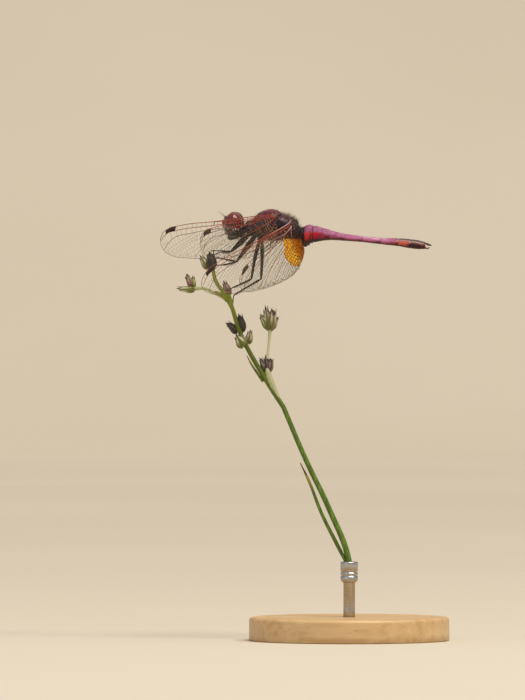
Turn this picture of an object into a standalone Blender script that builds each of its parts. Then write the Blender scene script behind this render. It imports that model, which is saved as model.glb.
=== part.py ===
"""A violet dropwing dragonfly, life size, gripping a cut rush stem on a plain display stand.

The insect faces -X, its left side is -Y and +Z is up. The origin is the middle of the stand's
underside. Sizes and places are in millimetres and are turned to metres by MM.
"""

from math import cos, pi, radians, sin

import bmesh
import bpy
from mathutils import Matrix, Vector

MM = 0.001
SEAM = 0.04                 # gap left between two pieces that meet
SIDES = {"left": -1.0, "right": 1.0}

# --- stand -------------------------------------------------------------------
BASE_RADIUS = 17.0
BASE_HEIGHT = 4.0
BASE_EDGE = 0.5
ROD_RADIUS = 1.0
FERRULE_RADIUS = 1.5
FERRULE_HEIGHT = 3.6
FERRULE_TOP = 13.4
SOCKET_RADIUS = 0.62
SOCKET_DEPTH = 2.2
TURNED_STEPS = 40

# --- rush stem ---------------------------------------------------------------
STEM_FOOT_RADIUS = 0.47
STEM_TOP_RADIUS = 0.28
STEM_SPLIT = (-11.3, 0.0, 39.6)
STEM_LOWER = [(0.0, 0.0, 11.4), (-0.15, 0.0, 13.9), (-3.3, 0.0, 22.0), (-7.6, 0.0, 31.0), STEM_SPLIT]
STEM_UPPER = [STEM_SPLIT, (-14.5, 0.0, 44.5), (-18.6, 0.0, 51.9), (-20.9, 0.0, 58.2),
              (-22.9, 0.0, 60.9), (-23.5, 0.0, 63.15)]
BRANCH = [(-21.68, 0.1, 58.22), (-23.2, 0.25, 59.0), (-25.0, 0.3, 59.8), (-26.6, 0.3, 59.75)]
BRANCH_RADIUS = 0.3
PEDICEL = [(-14.1, 0.9, 48.45), (-13.75, 0.95, 52.55)]
PEDICEL_RADIUS = 0.27
BLADE = [(-1.0, 0.1, 14.2), (-2.2, 0.1, 16.5), (-4.75, 0.05, 21.6), (-6.85, 0.0, 26.9), (-8.3, 0.0, 29.9)]
BLADE_RADII = [0.26, 0.3, 0.3, 0.27, 0.25]
BRACT = [(-15.82, -0.2, 45.4), (-16.9, -0.35, 47.0), (-17.55, -0.35, 48.4)]
BRACT_RADII = [0.32, 0.28, 0.25]
SHEATH = [(-12.85, 0.1, 43.2), (-13.42, 0.1, 44.6), (-13.9, 0.1, 45.6)]
SHEATH_RADII = [0.28, 0.45, 0.36]

# --- flower heads of the rush: foot, tip and greatest radius -------------------
FLORETS = {
    "floret_crown": ((-23.55, 0.0, 63.25), (-23.95, 0.0, 66.3), 0.74),
    "floret_crown_side": ((-24.45, 0.15, 63.15), (-25.85, 0.3, 65.65), 0.6),
    "floret_branch_upper": ((-26.95, 0.5, 60.0), (-28.35, 0.6, 62.35), 0.62),
    "floret_branch_end": ((-26.75, 0.2, 59.5), (-29.9, 0.1, 59.85), 0.52),
    "floret_fork": ((-20.6, 0.45, 58.75), (-21.75, 0.7, 61.45), 0.6),
    "floret_middle": ((-19.2, 0.5, 52.35), (-21.3, 0.75, 54.2), 0.55),
    "floret_middle_dark": ((-18.4, 0.65, 52.4), (-19.15, 0.9, 55.6), 0.58),
    "floret_low_left": ((-18.15, -0.65, 49.85), (-19.65, -0.9, 52.2), 0.62),
    "floret_low_right": ((-17.45, 0.5, 50.4), (-17.05, 0.75, 52.95), 0.5),
    "floret_base": ((-14.45, 0.85, 45.4), (-14.7, 1.0, 48.6), 0.95),
}
FLORET_PROFILE = [(0.0, 0.42), (0.14, 0.78), (0.34, 1.0), (0.58, 0.88), (0.8, 0.5), (0.94, 0.25)]
FLORET_STEPS = 10
TALL_HEAD_FOOT = (-13.7, 0.95, 52.75)
TALL_HEAD_TIPS = [(-15.6, 0.8, 56.6), (-14.1, 1.25, 57.15), (-12.4, 0.85, 56.3)]
TALL_HEAD_RADIUS = 0.72

# --- head --------------------------------------------------------------------
EYE_CENTRE = (-19.75, 1.2, 70.6)
EYE_SEMI_AXES = (1.5, 1.8, 2.22)
EYE_LEAN = radians(9.0)      # the top of each eye leans back
CORE_CENTRE = (-19.05, 0.0, 70.1)
CORE_SEMI_AXES = (1.1, 1.95, 1.75)
FACE_CENTRE_X = -20.55
FACE_LEVELS = [              # height, reach forward, half width
    (69.32, 0.78, 1.1), (69.6, 0.98, 1.35), (70.25, 1.2, 1.5), (70.95, 1.25, 1.4),
    (71.4, 1.08, 1.15), (71.8, 0.72, 0.75), (72.05, 0.45, 0.42),
]
MOUTH_LEVELS = [             # height, front x, back x, half width
    (67.98, -20.3, -18.95, 0.6), (68.3, -20.8, -18.75, 1.05), (68.8, -21.12, -18.6, 1.3),
    (69.26, -21.25, -18.7, 1.3),
]
ANTENNA_ROOT = (-21.2, 0.6, 71.9)
ANTENNA_TIP = (-22.35, 1.15, 72.8)
FEELER_RADIUS = 0.25

# --- thorax and abdomen: x, z of the widest level, half width, rise and drop ----
NECK = [(-17.86, 70.15, 0.7, 0.7, 0.85), (-17.45, 70.15, 1.1, 1.05, 1.1), (-16.95, 70.1, 1.25, 1.2, 1.15),
        (-16.62, 70.1, 1.05, 1.0, 1.0)]
THORAX = [
    (-16.56, 70.2, 1.0, 1.05, 1.05), (-16.1, 70.25, 1.6, 1.75, 1.6), (-15.4, 70.3, 2.0, 2.35, 2.1),
    (-14.2, 70.4, 2.35, 2.7, 2.38), (-13.0, 70.5, 2.5, 2.7, 2.5), (-12.0, 70.5, 2.5, 2.3, 2.5),
    (-10.5, 70.3, 2.3, 1.75, 2.35), (-9.55, 70.1, 2.0, 1.3, 2.15), (-8.75, 69.7, 1.65, 0.85, 1.75),
    (-8.4, 69.4, 1.3, 0.65, 1.4),
]
THORAX_ROUNDNESS = (2.1, 1.9)        # exponents of the upper and lower half of a section
ABDOMEN_ROUNDNESS = (1.75, 2.3)
ABDOMEN_JOINTS = [-8.32, -7.85, -6.2, -3.3, -0.8, 2.3, 5.4, 8.4, 10.5, 12.2, 13.0]
ABDOMEN_LINE = [             # x, top, bottom, half width
    (-8.4, 70.0, 67.9, 1.35), (-7.4, 70.45, 67.2, 1.6), (-6.6, 70.55, 67.4, 1.6), (-4.4, 70.0, 67.85, 1.35),
    (-2.5, 69.4, 67.92, 1.22), (-0.7, 69.0, 67.8, 1.18), (2.3, 68.6, 67.58, 1.2), (5.5, 68.32, 67.2, 1.24),
    (8.5, 68.2, 66.9, 1.2), (10.5, 68.14, 66.66, 1.05), (12.2, 67.82, 66.52, 0.8), (13.0, 67.5, 66.6, 0.55),
]
SEGMENT_RINGS = 5
SEGMENT_NECK = 0.05          # share of its size that a segment loses at its front end
SECTION_POINTS = 16
CERCUS = [(13.06, 0.3, 67.3), (13.7, 0.42, 67.3), (14.25, 0.36, 67.1)]
EPIPROCT = [(13.08, 0.0, 66.82), (13.35, 0.0, 66.78), (13.65, 0.0, 66.72)]
TAIL_RADII = [0.25, 0.26, 0.25]

# --- wings -------------------------------------------------------------------
WING_THICKNESS = 0.5
WING_RESOLUTION = 5
FORE_OUTLINE = [             # along the wing and across it, as shares of its length
    (0.0, 0.0), (0.25, -0.004), (0.52, 0.0), (0.8, 0.0), (0.93, 0.02), (1.0, 0.08), (0.95, 0.138),
    (0.82, 0.178), (0.62, 0.21), (0.4, 0.217), (0.2, 0.195), (0.11, 0.158), (0.075, 0.09), (0.024, 0.018),
]
HIND_OUTLINE = [
    (0.0, 0.0), (0.22, -0.002), (0.43, 0.004), (0.78, 0.002), (0.92, 0.022), (1.0, 0.088), (0.94, 0.155),
    (0.8, 0.205), (0.6, 0.255), (0.4, 0.292), (0.22, 0.31), (0.11, 0.293), (0.062, 0.23), (0.062, 0.12),
    (0.022, 0.022),
]
WINGS = {                    # length, hinge and outline
    "fore": (28.6, (-11.9, 1.88, 72.37), FORE_OUTLINE),
    "hind": (27.5, (-9.6, 1.92, 71.32), HIND_OUTLINE),
}
WING_POSES = {               # forward sweep, droop, and pitch of the blade, in degrees
    ("fore", "left"): (37.1, 6.1, 86.0), ("fore", "right"): (39.5, 6.1, 86.0),
    ("hind", "left"): (29.4, 20.0, 74.0), ("hind", "right"): (31.5, 19.8, 82.0),
}

# --- legs: hip, knee, ankle and claw ------------------------------------------
LEGS = {
    ("fore", "left"): [(-17.25, -0.65, 68.95), (-20.0, -1.9, 66.05), (-21.7, -1.1, 66.15), (-23.6, -0.3, 66.2)],
    ("fore", "right"): [(-17.25, 0.65, 68.95), (-20.6, 1.9, 66.05), (-22.0, 1.1, 66.0), (-23.28, 0.42, 65.55)],
    ("middle", "left"): [(-16.15, -0.75, 68.7), (-18.95, -2.2, 64.3), (-21.65, -1.2, 63.75),
                         (-22.98, -0.35, 63.7)],
    ("middle", "right"): [(-16.15, 0.75, 68.7), (-19.8, 2.2, 64.35), (-21.5, 1.3, 64.75),
                          (-22.85, 0.3, 65.05)],
    ("hind", "left"): [(-15.2, -0.95, 68.3), (-16.4, -2.6, 61.35), (-19.8, -1.35, 59.9), (-20.85, -0.4, 59.4)],
    ("hind", "right"): [(-15.2, 0.95, 68.3), (-15.55, 2.6, 61.4), (-20.0, 0.9, 58.6), (-20.1, 0.42, 57.4)],
}
FEMUR_RADII = {"fore": (0.34, 0.27), "middle": (0.33, 0.26), "hind": (0.32, 0.26)}
SHIN_RADIUS = 0.25

# --- finishes: sRGB hex, roughness, metallic -----------------------------------
FINISHES = {
    "eye": ("5a1f28", 0.25, 0.0), "face": ("6e2440", 0.35, 0.0), "body": ("5b2747", 0.5, 0.0),
    "abdomen": ("b83a6c", 0.5, 0.0), "tail": ("3a2024", 0.45, 0.0), "wing": ("d9c9a8", 0.2, 0.0),
    "leg": ("2c2228", 0.45, 0.0), "stem": ("6f8a3a", 0.55, 0.0), "floret": ("6b5433", 0.6, 0.0),
    "stand_wood": ("d8d2c6", 0.6, 0.0), "stand_metal": ("a8abb0", 0.3, 1.0),
}


def linear(channel):
    """Turn one sRGB channel from 0 to 1 into a linear one."""
    return channel / 12.92 if channel <= 0.04045 else ((channel + 0.055) / 1.055) ** 2.4


def finish_material(name, finish):
    """Give a node its own Principled material in one of the named finishes."""
    code, roughness, metallic = FINISHES[finish]
    colour = [linear(int(code[i:i + 2], 16) / 255.0) for i in (0, 2, 4)]
    made = bpy.data.materials.new(name)
    made.use_nodes = True
    shader = made.node_tree.nodes["Principled BSDF"]
    shader.inputs["Base Color"].default_value = (*colour, 1.0)
    shader.inputs["Roughness"].default_value = roughness
    shader.inputs["Metallic"].default_value = metallic
    return made


def millimetres(point):
    """A point in millimetres as a vector in metres."""
    return Vector(point) * MM


def mirrored(point, side):
    """A point given for the right side, on the named side."""
    return (point[0], point[1] * SIDES[side], point[2])


def add_object(name, data, finish, collection):
    """Link data as one named object with its own material."""
    made = bpy.data.objects.new(name, data)
    data.materials.append(finish_material(name, finish))
    collection.objects.link(made)
    return made


def mesh_object(name, mesh_edit, finish, collection):
    """Turn a bmesh into a smooth-shaded object."""
    bmesh.ops.recalc_face_normals(mesh_edit, faces=mesh_edit.faces)
    mesh = bpy.data.meshes.new(name)
    mesh_edit.to_mesh(mesh)
    mesh_edit.free()
    mesh.shade_smooth()
    return add_object(name, mesh, finish, collection)


def tube(name, points, radii, finish, collection, smooth=False):
    """A round limb or stem through the points: a curve with a bevel and filled caps."""
    curve = bpy.data.curves.new(name, "CURVE")
    curve.dimensions = "3D"
    curve.bevel_depth = MM
    curve.bevel_resolution = 2
    curve.resolution_u = 3
    curve.use_fill_caps = True
    spline = curve.splines.new("BEZIER" if smooth else "POLY")
    knots = spline.bezier_points if smooth else spline.points
    knots.add(len(points) - 1)
    for knot, point, radius in zip(knots, points, radii):
        place = millimetres(point)
        knot.co = place if smooth else (*place, 1.0)
        knot.radius = radius
        if smooth:
            knot.handle_left_type = "AUTO"
            knot.handle_right_type = "AUTO"
    return add_object(name, curve, finish, collection)


def taper(start, end, count):
    """Radii that run evenly from start to end."""
    return [start + (end - start) * i / (count - 1) for i in range(count)]


def turned(name, profile, steps, finish, collection):
    """A turned shape round Z: the profile's (radius, height) points run from the top down."""
    mesh = bpy.data.meshes.new(name)
    vertices = [(radius * MM, 0.0, height * MM) for radius, height in profile]
    mesh.from_pydata(vertices, [(i, i + 1) for i in range(len(vertices) - 1)], [])
    made = add_object(name, mesh, finish, collection)
    screw = made.modifiers.new("Turn", "SCREW")
    screw.steps = steps
    screw.render_steps = steps
    screw.use_merge_vertices = True
    screw.merge_threshold = 1e-6
    screw.use_smooth_shade = True
    return made


def floret_mesh_profile(length, radius):
    """The spindle of one rush capsule, from its pointed tip down to its foot."""
    rings = [(radius * share, length * along) for along, share in reversed(FLORET_PROFILE)]
    return [(0.0, length), *rings, (0.0, 0.0)]


def aim(made, foot, tip):
    """Stand an object that was made along Z with its origin at foot, pointing to tip."""
    way = Vector(tip) - Vector(foot)
    made.matrix_world = Matrix.Translation(millimetres(foot)) @ way.to_track_quat("Z", "Y").to_matrix().to_4x4()


def floret(name, foot, tip, radius, collection):
    """One rush capsule from foot to tip."""
    length = (Vector(tip) - Vector(foot)).length
    made = turned(name, floret_mesh_profile(length, radius), FLORET_STEPS, "floret", collection)
    aim(made, foot, tip)
    return made


def section(x, middle, half_width, rise, drop, roundness):
    """A ring across the body at x: two half super-ellipses that meet at the widest level."""
    ring = []
    for i in range(SECTION_POINTS):
        angle = 2.0 * pi * i / SECTION_POINTS
        upper = sin(angle) >= 0.0
        power = 2.0 / roundness[0 if upper else 1]
        across = half_width * abs(cos(angle)) ** power
        height = (rise if upper else drop) * abs(sin(angle)) ** power
        ring.append((x, across if cos(angle) >= 0.0 else -across, middle + (height if upper else -height)))
    return ring


def loft(rings):
    """A closed skin over rings of equal length, as a bmesh."""
    mesh_edit = bmesh.new()
    rows = [[mesh_edit.verts.new(millimetres(point)) for point in ring] for ring in rings]
    for row, following in zip(rows, rows[1:]):
        for i, vertex in enumerate(row):
            after = (i + 1) % len(row)
            mesh_edit.faces.new((vertex, row[after], following[after], following[i]))
    mesh_edit.faces.new(rows[0])
    mesh_edit.faces.new(rows[-1])
    return mesh_edit


def ellipsoid(centre, semi_axes, lean, margin=0.0):
    """A ball stretched to its semi-axes, leaned back about Y, grown by margin."""
    mesh_edit = bmesh.new()
    bmesh.ops.create_uvsphere(mesh_edit, u_segments=20, v_segments=12, radius=1.0)
    grown = [(size + margin) * MM for size in semi_axes]
    place = Matrix.Translation(millimetres(centre)) @ Matrix.Rotation(lean, 4, "Y")
    bmesh.ops.transform(mesh_edit, matrix=place @ Matrix.Diagonal((*grown, 1.0)), verts=mesh_edit.verts)
    return mesh_edit


def make_eye(side, collection):
    """A compound eye: an ellipsoid trimmed flat where it meets its fellow over the brow."""
    mesh_edit = ellipsoid(mirrored(EYE_CENTRE, side), EYE_SEMI_AXES, EYE_LEAN)
    plane_point = Vector((0.0, SIDES[side] * SEAM * MM, 0.0))
    geometry = mesh_edit.verts[:] + mesh_edit.edges[:] + mesh_edit.faces[:]
    cut = bmesh.ops.bisect_plane(mesh_edit, geom=geometry, plane_co=plane_point,
                                 plane_no=(0.0, SIDES[side], 0.0), clear_inner=True)
    rim = [item for item in cut["geom_cut"] if isinstance(item, bmesh.types.BMEdge)]
    bmesh.ops.holes_fill(mesh_edit, edges=rim)
    return mesh_object(f"eye_{side}", mesh_edit, "eye", collection)


def hide_guide(made):
    """Mark an object as a cutter or a guide, which isn't part of the model."""
    made.hide_render = True
    made.display_type = "WIRE"


def head_cutters(collection):
    """Grown copies of the eyes and of the skull, which the neighbouring pieces are cut by."""
    cutters = {}
    for side in SIDES:
        grown = ellipsoid(mirrored(EYE_CENTRE, side), EYE_SEMI_AXES, EYE_LEAN, SEAM)
        cutters[side] = mesh_object(f"cut_eye_{side}", grown, "eye", collection)
    grown = ellipsoid(CORE_CENTRE, CORE_SEMI_AXES, 0.0, SEAM)
    cutters["core"] = mesh_object("cut_core", grown, "body", collection)
    for cutter in cutters.values():
        hide_guide(cutter)
    return cutters


def cut_by(made, cutters):
    """Take the cutters out of an object with Boolean modifiers."""
    for cutter in cutters:
        cut = made.modifiers.new(cutter.name, "BOOLEAN")
        cut.operation = "DIFFERENCE"
        cut.object = cutter


def oval(centre_x, reach, half_width, height):
    """A level ring about the mid-plane, for the lofts of the face and mouth."""
    ring = []
    for i in range(SECTION_POINTS):
        angle = 2.0 * pi * i / SECTION_POINTS
        ring.append((centre_x - reach * cos(angle), half_width * sin(angle), height))
    return ring


def make_head(collection, cutter_collection):
    """Skull, eyes, face, mouthparts and antennae."""
    cutters = head_cutters(cutter_collection)
    eyes = [cutters[side] for side in SIDES]
    for side in SIDES:
        make_eye(side, collection)
        ends = [mirrored(ANTENNA_ROOT, side), mirrored(ANTENNA_TIP, side)]
        tube(f"antenna_{side}", ends, [FEELER_RADIUS] * 2, "leg", collection)
    skull = mesh_object("head", ellipsoid(CORE_CENTRE, CORE_SEMI_AXES, 0.0), "body", collection)
    cut_by(skull, eyes)
    face = mesh_object("face", loft([oval(FACE_CENTRE_X, reach, width, height)
                                     for height, reach, width in FACE_LEVELS]), "face", collection)
    cut_by(face, [*eyes, cutters["core"]])
    rings = [oval((front + back) / 2.0, (back - front) / 2.0, width, height)
             for height, front, back, width in MOUTH_LEVELS]
    mouth = mesh_object("mouthparts", loft(rings), "face", collection)
    cut_by(mouth, [*eyes, cutters["core"]])


def along(line, x):
    """Read a table whose rows start with x at any x, evenly between its rows."""
    for row, following in zip(line, line[1:]):
        if x <= following[0] or following is line[-1]:
            share = min(max((x - row[0]) / (following[0] - row[0]), 0.0), 1.0)
            return [a + (b - a) * share for a, b in zip(row[1:], following[1:])]
    return list(line[-1][1:])


def make_trunk(collection):
    """Neck shield, thorax, the ten abdomen segments and the tail appendages."""
    for name, stations in (("neck", NECK), ("thorax", THORAX)):
        rings = [section(*station, THORAX_ROUNDNESS) for station in stations]
        mesh_object(name, loft(rings), "body", collection)
    for index, (start, end) in enumerate(zip(ABDOMEN_JOINTS, ABDOMEN_JOINTS[1:]), 1):
        rings = []
        for i in range(SEGMENT_RINGS):
            share = i / (SEGMENT_RINGS - 1)
            x = start + SEAM / 2.0 + (end - start - SEAM) * share
            top, bottom, width = along(ABDOMEN_LINE, x)
            scale = 1.0 - SEGMENT_NECK * (1.0 - share) ** 3
            middle = bottom + (top - bottom) * 0.45
            rings.append(section(x, middle, width * scale, (top - middle) * scale, (middle - bottom) * scale,
                                 ABDOMEN_ROUNDNESS))
        finish = "tail" if index > 7 else "abdomen"
        mesh_object(f"abdomen_{index:02d}", loft(rings), finish, collection)
    for side in SIDES:
        tube(f"cercus_{side}", [mirrored(point, side) for point in CERCUS], TAIL_RADII, "tail", collection)
    tube("epiproct", EPIPROCT, TAIL_RADII, "tail", collection)


def wing_axes(kind, side):
    """The directions along a wing, across it towards its hind margin, and out of its face."""
    sweep, droop, pitch = (radians(angle) for angle in WING_POSES[kind, side])
    hand = SIDES[side]
    span = Vector((-sin(sweep) * cos(droop), hand * cos(sweep) * cos(droop), -sin(droop)))
    level = Vector((cos(sweep), hand * sin(sweep), 0.0))
    rise = Vector((-sin(sweep) * sin(droop), hand * cos(sweep) * sin(droop), cos(droop)))
    chord = level * cos(pitch) - rise * sin(pitch)
    return span, chord, span.cross(chord)


def make_wing(kind, side, collection):
    """A flat wing blade with its outline laid along its own axes."""
    name = f"wing_{kind}_{side}"
    length, hinge, outline = WINGS[kind]
    curve = bpy.data.curves.new(name, "CURVE")
    curve.dimensions = "2D"
    curve.fill_mode = "BOTH"
    curve.extrude = WING_THICKNESS / 2.0 * MM
    curve.resolution_u = WING_RESOLUTION
    spline = curve.splines.new("BEZIER")
    spline.use_cyclic_u = True
    spline.bezier_points.add(len(outline) - 1)
    for knot, (forward, across) in zip(spline.bezier_points, outline):
        knot.co = (forward * length * MM, across * length * MM, 0.0)
        knot.handle_left_type = "AUTO"
        knot.handle_right_type = "AUTO"
    made = add_object(name, curve, "wing", collection)
    axes = Matrix(wing_axes(kind, side)).transposed().to_4x4()
    made.matrix_world = Matrix.Translation(millimetres(mirrored(hinge, side))) @ axes
    return made


def make_leg(pair, side, collection):
    """A femur, and a shin that runs on into the foot; the hind foot is a length of its own."""
    hip, knee, ankle, claw = LEGS[pair, side]
    thick, thin = FEMUR_RADII[pair]
    knee_end = Vector(knee) - (Vector(knee) - Vector(hip)).normalized() * thin
    tube(f"femur_{pair}_{side}", [hip, tuple(knee_end)], [thick, thin], "leg", collection)
    if pair == "hind":
        toe = (Vector(claw) - Vector(ankle)).normalized() * SHIN_RADIUS
        tube(f"shin_{pair}_{side}", [knee, ankle], [SHIN_RADIUS] * 2, "leg", collection)
        tube(f"foot_{pair}_{side}", [tuple(Vector(ankle) + toe), claw], [SHIN_RADIUS] * 2, "leg", collection)
    else:
        tube(f"shin_{pair}_{side}", [knee, ankle, claw], [SHIN_RADIUS] * 3, "leg", collection)


def make_tall_head(collection, cutter_collection):
    """The tall flower head: three capsules that share one foot, joined into one solid."""
    first, *others = TALL_HEAD_TIPS
    whole = floret("floret_tall", TALL_HEAD_FOOT, first, TALL_HEAD_RADIUS, collection)
    for index, tip in enumerate(others):
        guide = floret(f"join_capsule_{index}", TALL_HEAD_FOOT, tip, TALL_HEAD_RADIUS, cutter_collection)
        hide_guide(guide)
        join = whole.modifiers.new(guide.name, "BOOLEAN")
        join.operation = "UNION"
        join.object = guide


def make_perch(collection, cutter_collection):
    """The cut rush stem with its branch, flower heads, blade, bract and sheath."""
    middle_radius = (STEM_FOOT_RADIUS + STEM_TOP_RADIUS) / 2.0
    low = [*STEM_LOWER[:-1], tuple(Vector(STEM_SPLIT) - Vector((-0.06, 0.0, 0.09)))]
    tube("stem_lower", low, taper(STEM_FOOT_RADIUS, middle_radius, len(low)), "stem", collection, True)
    tube("stem_upper", STEM_UPPER, taper(middle_radius, STEM_TOP_RADIUS, len(STEM_UPPER)), "stem", collection,
         True)
    tube("stem_branch", BRANCH, [BRANCH_RADIUS] * len(BRANCH), "stem", collection, True)
    tube("stem_pedicel", PEDICEL, [PEDICEL_RADIUS] * len(PEDICEL), "stem", collection)
    tube("stem_blade", BLADE, BLADE_RADII, "stem", collection, True)
    tube("stem_bract", BRACT, BRACT_RADII, "stem", collection)
    tube("stem_sheath", SHEATH, SHEATH_RADII, "stem", collection)
    for name, (foot, tip, radius) in FLORETS.items():
        floret(name, foot, tip, radius, collection)
    make_tall_head(collection, cutter_collection)


def make_stand(collection):
    """A flat round base and one short rod that ends in a socket for the stem."""
    bottom = BASE_HEIGHT + SEAM
    shoulder = FERRULE_TOP - FERRULE_HEIGHT
    rod = [(0.0, FERRULE_TOP - SOCKET_DEPTH), (SOCKET_RADIUS, FERRULE_TOP - SOCKET_DEPTH),
           (SOCKET_RADIUS, FERRULE_TOP), (FERRULE_RADIUS - 0.2, FERRULE_TOP), (FERRULE_RADIUS, FERRULE_TOP - 0.2),
           (FERRULE_RADIUS, shoulder + 0.5), (ROD_RADIUS, shoulder), (ROD_RADIUS, bottom), (0.0, bottom)]
    turned("stand_rod", rod, TURNED_STEPS // 2, "stand_metal", collection)
    rim = BASE_RADIUS - BASE_EDGE
    base = [(0.0, BASE_HEIGHT), (rim, BASE_HEIGHT), (BASE_RADIUS, BASE_HEIGHT - BASE_EDGE), (BASE_RADIUS, 0.0),
            (0.0, 0.0)]
    turned("stand_base", base, TURNED_STEPS, "stand_wood", collection)


def clear_scene():
    """Remove whatever the scene holds, so the model starts empty."""
    for existing in list(bpy.data.objects):
        bpy.data.objects.remove(existing, do_unlink=True)


def main():
    """Build the insect, its perch and the stand."""
    clear_scene()
    model = bpy.data.collections.new("dragonfly")
    cutters = bpy.data.collections.new("cutters")
    bpy.context.scene.collection.children.link(model)
    bpy.context.scene.collection.children.link(cutters)
    make_stand(model)
    make_perch(model, cutters)
    make_trunk(model)
    make_head(model, cutters)
    for kind in WINGS:
        for side in SIDES:
            make_wing(kind, side, model)
    for pair, side in LEGS:
        make_leg(pair, side, model)


main()
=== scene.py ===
"""A violet dropwing dragonfly, life size, on a cut rush held by a small display stand.

The insect faces -X, its left side is -Y and +Z is up. Shapes are made in millimetres and turned
to metres when they are settled on the frame.
"""

import logging
from collections.abc import Callable, Iterable, Sequence
from dataclasses import dataclass, field
from enum import Enum
from functools import partial
from math import cos, exp, pi, radians, sin
from random import Random
from typing import Any

import bmesh
import bpy
import numpy as np
from mathutils import Matrix, Vector
from mathutils.geometry import delaunay_2d_cdt


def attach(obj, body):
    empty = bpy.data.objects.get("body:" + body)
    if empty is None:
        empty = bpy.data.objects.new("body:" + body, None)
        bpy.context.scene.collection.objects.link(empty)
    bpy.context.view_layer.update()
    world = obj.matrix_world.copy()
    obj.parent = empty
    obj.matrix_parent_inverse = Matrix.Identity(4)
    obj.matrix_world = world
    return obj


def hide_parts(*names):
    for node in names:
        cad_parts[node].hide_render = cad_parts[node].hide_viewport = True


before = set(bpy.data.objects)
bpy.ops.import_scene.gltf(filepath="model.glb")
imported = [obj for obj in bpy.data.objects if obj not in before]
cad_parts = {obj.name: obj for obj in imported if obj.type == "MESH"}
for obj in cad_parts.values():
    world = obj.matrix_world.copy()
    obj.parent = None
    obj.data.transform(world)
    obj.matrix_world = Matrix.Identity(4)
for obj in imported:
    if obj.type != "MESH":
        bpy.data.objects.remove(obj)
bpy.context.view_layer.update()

log = logging.getLogger("dragonfly")

MM = 0.001
BODY = "root"
Point = tuple[float, float, float]
Flat = tuple[float, float]
Row = Sequence[float]
Rows = Sequence[Row]
Faces = list[tuple[int, ...]]
Shell = tuple[list[Row], Faces]
Run = dict[str, Any]
Thing = bpy.types.Object
Socket = bpy.types.NodeSocket


class Side(Enum):
    """The insect's two sides, with the sign that Y has on each."""

    LEFT = -1.0
    RIGHT = 1.0

    @property
    def word(self) -> str:
        """The side's name as the parts have it."""
        return self.name.lower()

    def place(self, point: Point) -> Vector:
        """A point given for the right side, moved to this side."""
        return Vector((point[0], point[1] * self.value, point[2]))


class Pair(Enum):
    """The three pairs of legs, from the front."""

    FORE = "fore"
    MIDDLE = "middle"
    HIND = "hind"


# --- node trees -------------------------------------------


def add_node(tree: bpy.types.NodeTree, kind: str, settings: dict[str, Any] | None = None,
             inputs: dict[int | str, Any] | None = None) -> bpy.types.Node:
    """Add one node with its settings and its links.

    Args:
        tree: The tree that gets the node.
        kind: Blender's name for the node's type.
        settings: Properties to set on the node.
        inputs: For each input, by number or name, an output socket to link or a value to set.

    Returns:
        The new node.
    """
    node = tree.nodes.new(kind)
    for key, value in (settings or {}).items():
        setattr(node, key, value)
    for key, value in (inputs or {}).items():
        if isinstance(value, Socket):
            tree.links.new(value, node.inputs[key])
        else:
            node.inputs[key].default_value = value
    return node


def wire(tree: bpy.types.NodeTree, kind: str, inputs: dict[int | str, Any] | None = None,
         output: int | str = 0, **settings: Any) -> Socket:
    """Add one node and hand back one of its outputs."""
    return add_node(tree, kind, settings, inputs).outputs[output]


def sum_of(tree: bpy.types.NodeTree, operation: str, *values: Any) -> Socket:
    """The result of a sum on numbers."""
    return wire(tree, "ShaderNodeMath", dict(enumerate(values)), operation=operation)


def linear(code: str) -> tuple[float, float, float, float]:
    """Turn an sRGB hex colour into a linear one.

    Args:
        code: Six hex digits.

    Returns:
        Red, green, blue and an alpha of 1.
    """
    channels = [int(code[i:i + 2], 16) / 255.0 for i in (0, 2, 4)]
    red, green, blue = [c / 12.92 if c <= 0.04045 else ((c + 0.055) / 1.055) ** 2.4 for c in channels]
    return red, green, blue, 1.0


# --- finishes ---------------------------------------------


class Follow(Enum):
    """What a mask or a relief follows over a surface."""

    X = 0
    Z = 2
    NOISE = "noise"
    CELLS = "cells"


@dataclass(frozen=True)
class Mask:
    """Where a colour shows: nowhere at low and fully at high.

    Attributes:
        follow: An axis in millimetres, a texture, or the name of a value kept on the mesh.
        low: The measure at which the colour is gone.
        high: The measure at which it is full.
        size: Millimetres of one grain of the texture or of the wobble, along all axes or each.
        wobble: How far the edge wanders, in the unit of the measure.
    """

    follow: Follow | str
    low: float
    high: float
    size: Point | float = 0.5
    wobble: float = 0.0


@dataclass(frozen=True)
class Layer:
    """A colour laid over those before it, where all its masks let it show."""

    colour: str
    strength: float
    masks: tuple[Mask, ...]


@dataclass(frozen=True)
class Relief:
    """A fine relief drawn by the surface normal, with its grain and height in millimetres."""

    follow: Follow
    size: Point | float
    height: float
    randomness: float = 1.0


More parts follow.
